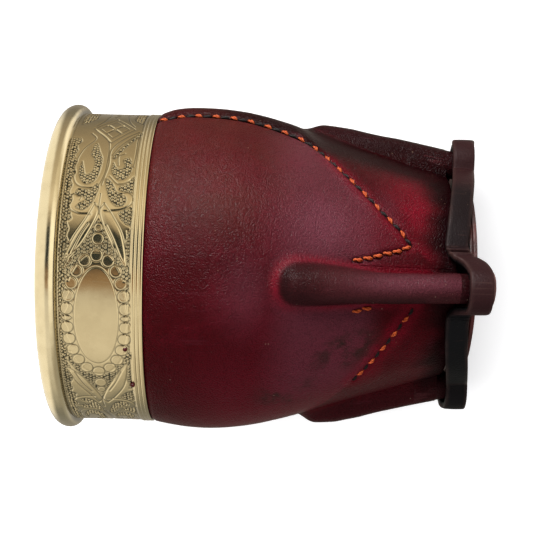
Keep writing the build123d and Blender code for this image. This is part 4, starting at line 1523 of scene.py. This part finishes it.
chased_lines = [
    [(31.9, 0.8), (36.9, -0.5), (44.0, -0.6), (48.3, 0.3), (52.5, 3.6)],
    [(32.6, 0.0), (38.3, -1.1), (44.0, -1.2), (48.4, -3.6), (52.3, -7.2)],
    [(31.6, 1.6), (31.9, 4.6), (33.7, 6.6), (38.3, 7.0), (44.0, 5.6), (48.3, 3.2), (51.0, 4.6)],
    [(35.2, -1.6), (32.8, -4.2), (34.4, -7.2)],
    [(42.0, -1.6), (45.5, -3.2), (50.0, -6.2)],
    [(24.8, 1.9), (24.9, 5.0), (26.4, 7.2), (28.9, 7.2), (30.1, 5.8), (29.5, 4.5), (28.5, 4.8)],
    [(25.6, -1.2), (26.0, -4.9), (27.4, -7.2), (29.3, -7.7), (30.7, -6.5), (30.2, -5.0), (29.3, -5.2)],
    [(38.2, -7.1), (43.0, -7.3), (47.5, -7.2), (49.9, -7.5)],
    [(38.5, -3.4), (41.5, -3.2), (42.6, -4.6)],
    [(55.0, 4.0), (58.6, 2.4), (64.2, 1.4)],
    [(55.0, -5.6), (58.6, -4.0), (64.2, -2.9)],
    [(60.2, -0.8), (62.4, 0.2), (64.2, -0.8)],
]
vein_lines = [
    [(15.5, 5.8), (19.5, 4.0), (22.5, 2.3)],
    [(15.0, -5.3), (19.0, -3.6), (22.0, -2.0)],
    [(25.0, 0.0), (27.6, 0.15), (30.0, 0.0)],
]
lozenge = np.array([(46.8, -0.8), (53.5, 4.3), (60.2, -0.8), (53.5, -5.9)])
inner_lozenge = np.array([(48.9, -0.8), (53.5, 2.8), (58.1, -0.8), (53.5, -4.4)])
petal_ends = [(51.3, 0.9), (55.7, 0.9), (51.3, -2.6), (55.7, -2.6)]
print("discs:", len(discs), "pearl patches:", len(pearl_patches), "chased lines:", len(chased_lines))

# %% Punch the pattern
PEARL_SPACING = 0.82
PEARL_RADIUS = 0.37
PEARL_DEPTH = 0.24
CHASED_WIDTH = 0.20
CHASED_DEPTH = 0.13

relief = np.zeros(pattern_x.shape)
dark = np.zeros(pattern_x.shape)


def loop_line(outline):
    """An outline that ends where it starts."""
    return np.vstack([outline, outline[:1]])


def cut_groove(line, width, depth, tarnish):
    """Cuts a rounded groove along a line and darkens it."""
    global relief, dark
    away = distance_to_line(pattern_x, pattern_y, line)
    relief = relief - depth * hump(away, width)
    dark = np.maximum(dark, tarnish * hump(away, width * 0.8))


# where the pearl ground lies: patches, the row of dots, both borders, and the point beyond the ring
patch_gap = np.full(pattern_x.shape, 1e9)
for patch in pearl_patches:
    patch_gap = np.minimum(patch_gap, inside_shape(chase([*patch, patch[0]], 60)))
patch_gap = np.minimum(patch_gap, distance_to_line(pattern_x, pattern_y, chase(pearl_row)) - 0.36)
wave = 0.30 * np.sin(pattern_x * 1.7) + 0.25 * np.sin(pattern_x * 0.6 + 1)
high_strip = np.maximum(7.05 + wave - pattern_y, np.maximum(pattern_y - 8.75, pattern_x - 48.5))
patch_gap = np.minimum(patch_gap, high_strip)
low_strip = np.maximum(6.95 + 0.5 * wave + pattern_y, -7.65 - pattern_y)
patch_gap = np.minimum(patch_gap, np.maximum(low_strip, pattern_x - 21.0))
outside_ring = 1.0 - np.hypot(pattern_x / (RING_HALF[0] + 0.9), pattern_y / (RING_HALF[1] + 0.9))
point_side = np.abs(pattern_y + 0.1) - 0.62 * (23.4 - pattern_x)
patch_gap = np.minimum(patch_gap, np.maximum(np.maximum(8.0 * outside_ring, point_side), 9.0 - pattern_x))

leaf_gap = np.full(pattern_x.shape, 1e9)
for leaf in leaf_shapes:
    leaf_gap = np.minimum(leaf_gap, inside_shape(chase([*leaf, leaf[0]], 60)))
relief += 0.09 * smoothstep(0.0, -1.3, leaf_gap)

keep_clear = smoothstep(0.10, 0.30, leaf_gap)
for x, y, r in discs:
    away = np.hypot(pattern_x - x, pattern_y - y)
    keep_clear = np.minimum(keep_clear, smoothstep(r + 0.22, r + 0.36, away))
ground = smoothstep(0.10, -0.14, patch_gap) * keep_clear
pearl_gap = pearl_ground(PEARL_SPACING, 7)
pearls = np.sqrt(np.clip(1 - (pearl_gap / PEARL_RADIUS) ** 2, 0, 1))
relief += ground * (PEARL_DEPTH * 1.15 * pearls - PEARL_DEPTH)
dark = np.maximum(dark, ground * smoothstep(PEARL_RADIUS * 0.66, PEARL_RADIUS * 1.0, pearl_gap))
# painted dark reflection: the pearl ground darkens more round 18.5 mm from the oval's middle, over its
# tarnish
dark = np.maximum(dark, 0.5 * ground * hump(pattern_x - 18.5, 7.0))

# a chased line runs round every patch and leaf
for gap in (patch_gap, leaf_gap):
    relief -= 0.09 * hump(gap - 0.05, 0.17) * (1 - ground)
    dark = np.maximum(dark, 0.55 * hump(gap - 0.05, 0.14) * keep_clear)
relief -= 0.08 * hump(leaf_gap - 0.05, 0.16)
dark = np.maximum(dark, 0.6 * hump(leaf_gap - 0.05, 0.14))

for x, y, r in discs:
    away = np.hypot(pattern_x - x, pattern_y - y)
    relief += 0.05 * hump(away - r + 0.20, 0.14) - 0.13 * hump(away - r - 0.08, 0.15)
    dark = np.maximum(dark, 0.80 * hump(away - r - 0.08, 0.13))

for line in chased_lines:
    cut_groove(chase(line), CHASED_WIDTH, CHASED_DEPTH, 0.62)
for line in vein_lines:
    cut_groove(chase(line), 0.17, 0.17, 0.75)
oval_angle = fine_ring[::12]
oval_line = np.stack([OVAL_HALF[0] * np.cos(oval_angle), OVAL_HALF[1] * np.sin(oval_angle)], axis=-1)
cut_groove(oval_line, 0.14, 0.12, 0.55)
cut_groove(loop_line(lozenge), 0.17, 0.14, 0.6)
cut_groove(loop_line(inner_lozenge), 0.15, 0.12, 0.6)
for end in petal_ends:
    cut_groove(np.array([(53.5, -0.85), end]), 0.30, 0.20, 0.7)
cut_groove(np.array([(0.0, -7.75), (QUARTER_LENGTH, -7.75)]), 0.15, 0.11, 0.5)
print("deepest punch in mm:", round(float(relief.min()), 2))

# %% Band halves
BAND_WALL = 0.8


def band_half(name, first_quarter):
    """Half of the band: two quarters of the pattern, one mirrored, with a plain inner wall."""
    forward_part, mirrored = relief, relief[:, ::-1]
    forward_dark, mirrored_dark = dark, dark[:, ::-1]
    heights = np.hstack([mirrored[:, :-1], forward_part])
    shade = np.hstack([mirrored_dark[:, :-1], forward_dark])
    bearing = OVAL_BEARING + first_quarter * 90.0 + np.linspace(-90, 90, heights.shape[1])
    z = pattern_y[:, :1] + OVAL_Z
    a = np.radians(bearing)[None, :]
    dents = 0.05 * np.sin(2 * a + z / 7.0) + 0.035 * np.sin(5 * a + z / 4.0 + 1.0)
    dents = dents + 0.02 * np.sin(11 * a + z / 3.0)
    dents = dents * smoothstep(BAND_FOOT, BAND_FOOT + 2, z) * smoothstep(JOINT_Z, JOINT_Z - 2, z)
    outer = on_bearing(BAND_RADIUS + heights + dents - 0.02, bearing[None, :], z)
    coarse = slice(None, None, 10)
    rows, columns = outer.shape[:2]
    faces = grid_faces(rows, columns)
    wall_bearing = bearing[coarse]
    wall_z = np.linspace(BAND_FOOT, JOINT_Z, 5)
    inner = on_bearing(BAND_RADIUS - BAND_WALL, wall_bearing[None, :], wall_z[:, None])
    first = rows * columns
    inner_faces = grid_faces(len(wall_z), len(wall_bearing), first=first)
    faces += [face[::-1] for face in inner_faces]
    spots = np.concatenate([outer.reshape(-1, 3), inner.reshape(-1, 3)])
    half = new_piece(name, spots, faces, ["engraved_band"], "band_metal", band_metal, 70)
    paint(half, "tarnish", np.concatenate([shade.ravel(), np.zeros(inner.shape[0] * inner.shape[1])]))
    return half


band_half("chased_band_front", 0)
band_half("chased_band_back", 2)

# %% [markdown]
# Two small tacks pin the collar on each side; on this cup they have dark red heads.

# %% Tacks
TACK_SPOTS = [(-38.5, 87.6), (-23.0, 88.9)]
TACK_OUTLINE = [
    (0.02, 0.34), (0.22, 0.31), (0.40, 0.22), (0.52, 0.08), (0.55, -0.10), (0.55, -0.5), (0.02, -0.5),
]
TACK_SIDES = 20

tack_points, tack_faces = [], []
for half in (0.0, HALF_TURN):
    for bearing, z in TACK_SPOTS:
        seat_radius = np.array(BAND_RADIUS + (0.45 if z < 88 else 0.0))
        seat = on_bearing(seat_radius, np.array(bearing + half), np.array(z))
        out = on_bearing(np.array(1.0), np.array(bearing + half), np.array(0.0))
        side_axis = np.cross([0, 0, 1], out)
        angle = np.linspace(0, 2 * math.pi, TACK_SIDES, endpoint=False)
        circle = np.outer(np.cos(angle), side_axis) + np.outer(np.sin(angle), [0, 0, 1])
        rings = []
        for reach, lift in TACK_OUTLINE:
            rings.append(seat + out * lift + reach * circle)
        rings = np.array(rings)
        first = sum(len(p) for p in tack_points)
        tack_faces += [[v + first for v in face] for face in capped(rings)]
        tack_points.append(rings.reshape(-1, 3))
new_piece("tack_heads", np.concatenate(tack_points), tack_faces, ["collar_tacks"], "tack", tack_finish, 45)

# %% [markdown]
# ## Settings
#
# Colours are shown as written.

# %% Settings
bpy.context.scene.view_settings.view_transform = "Standard"
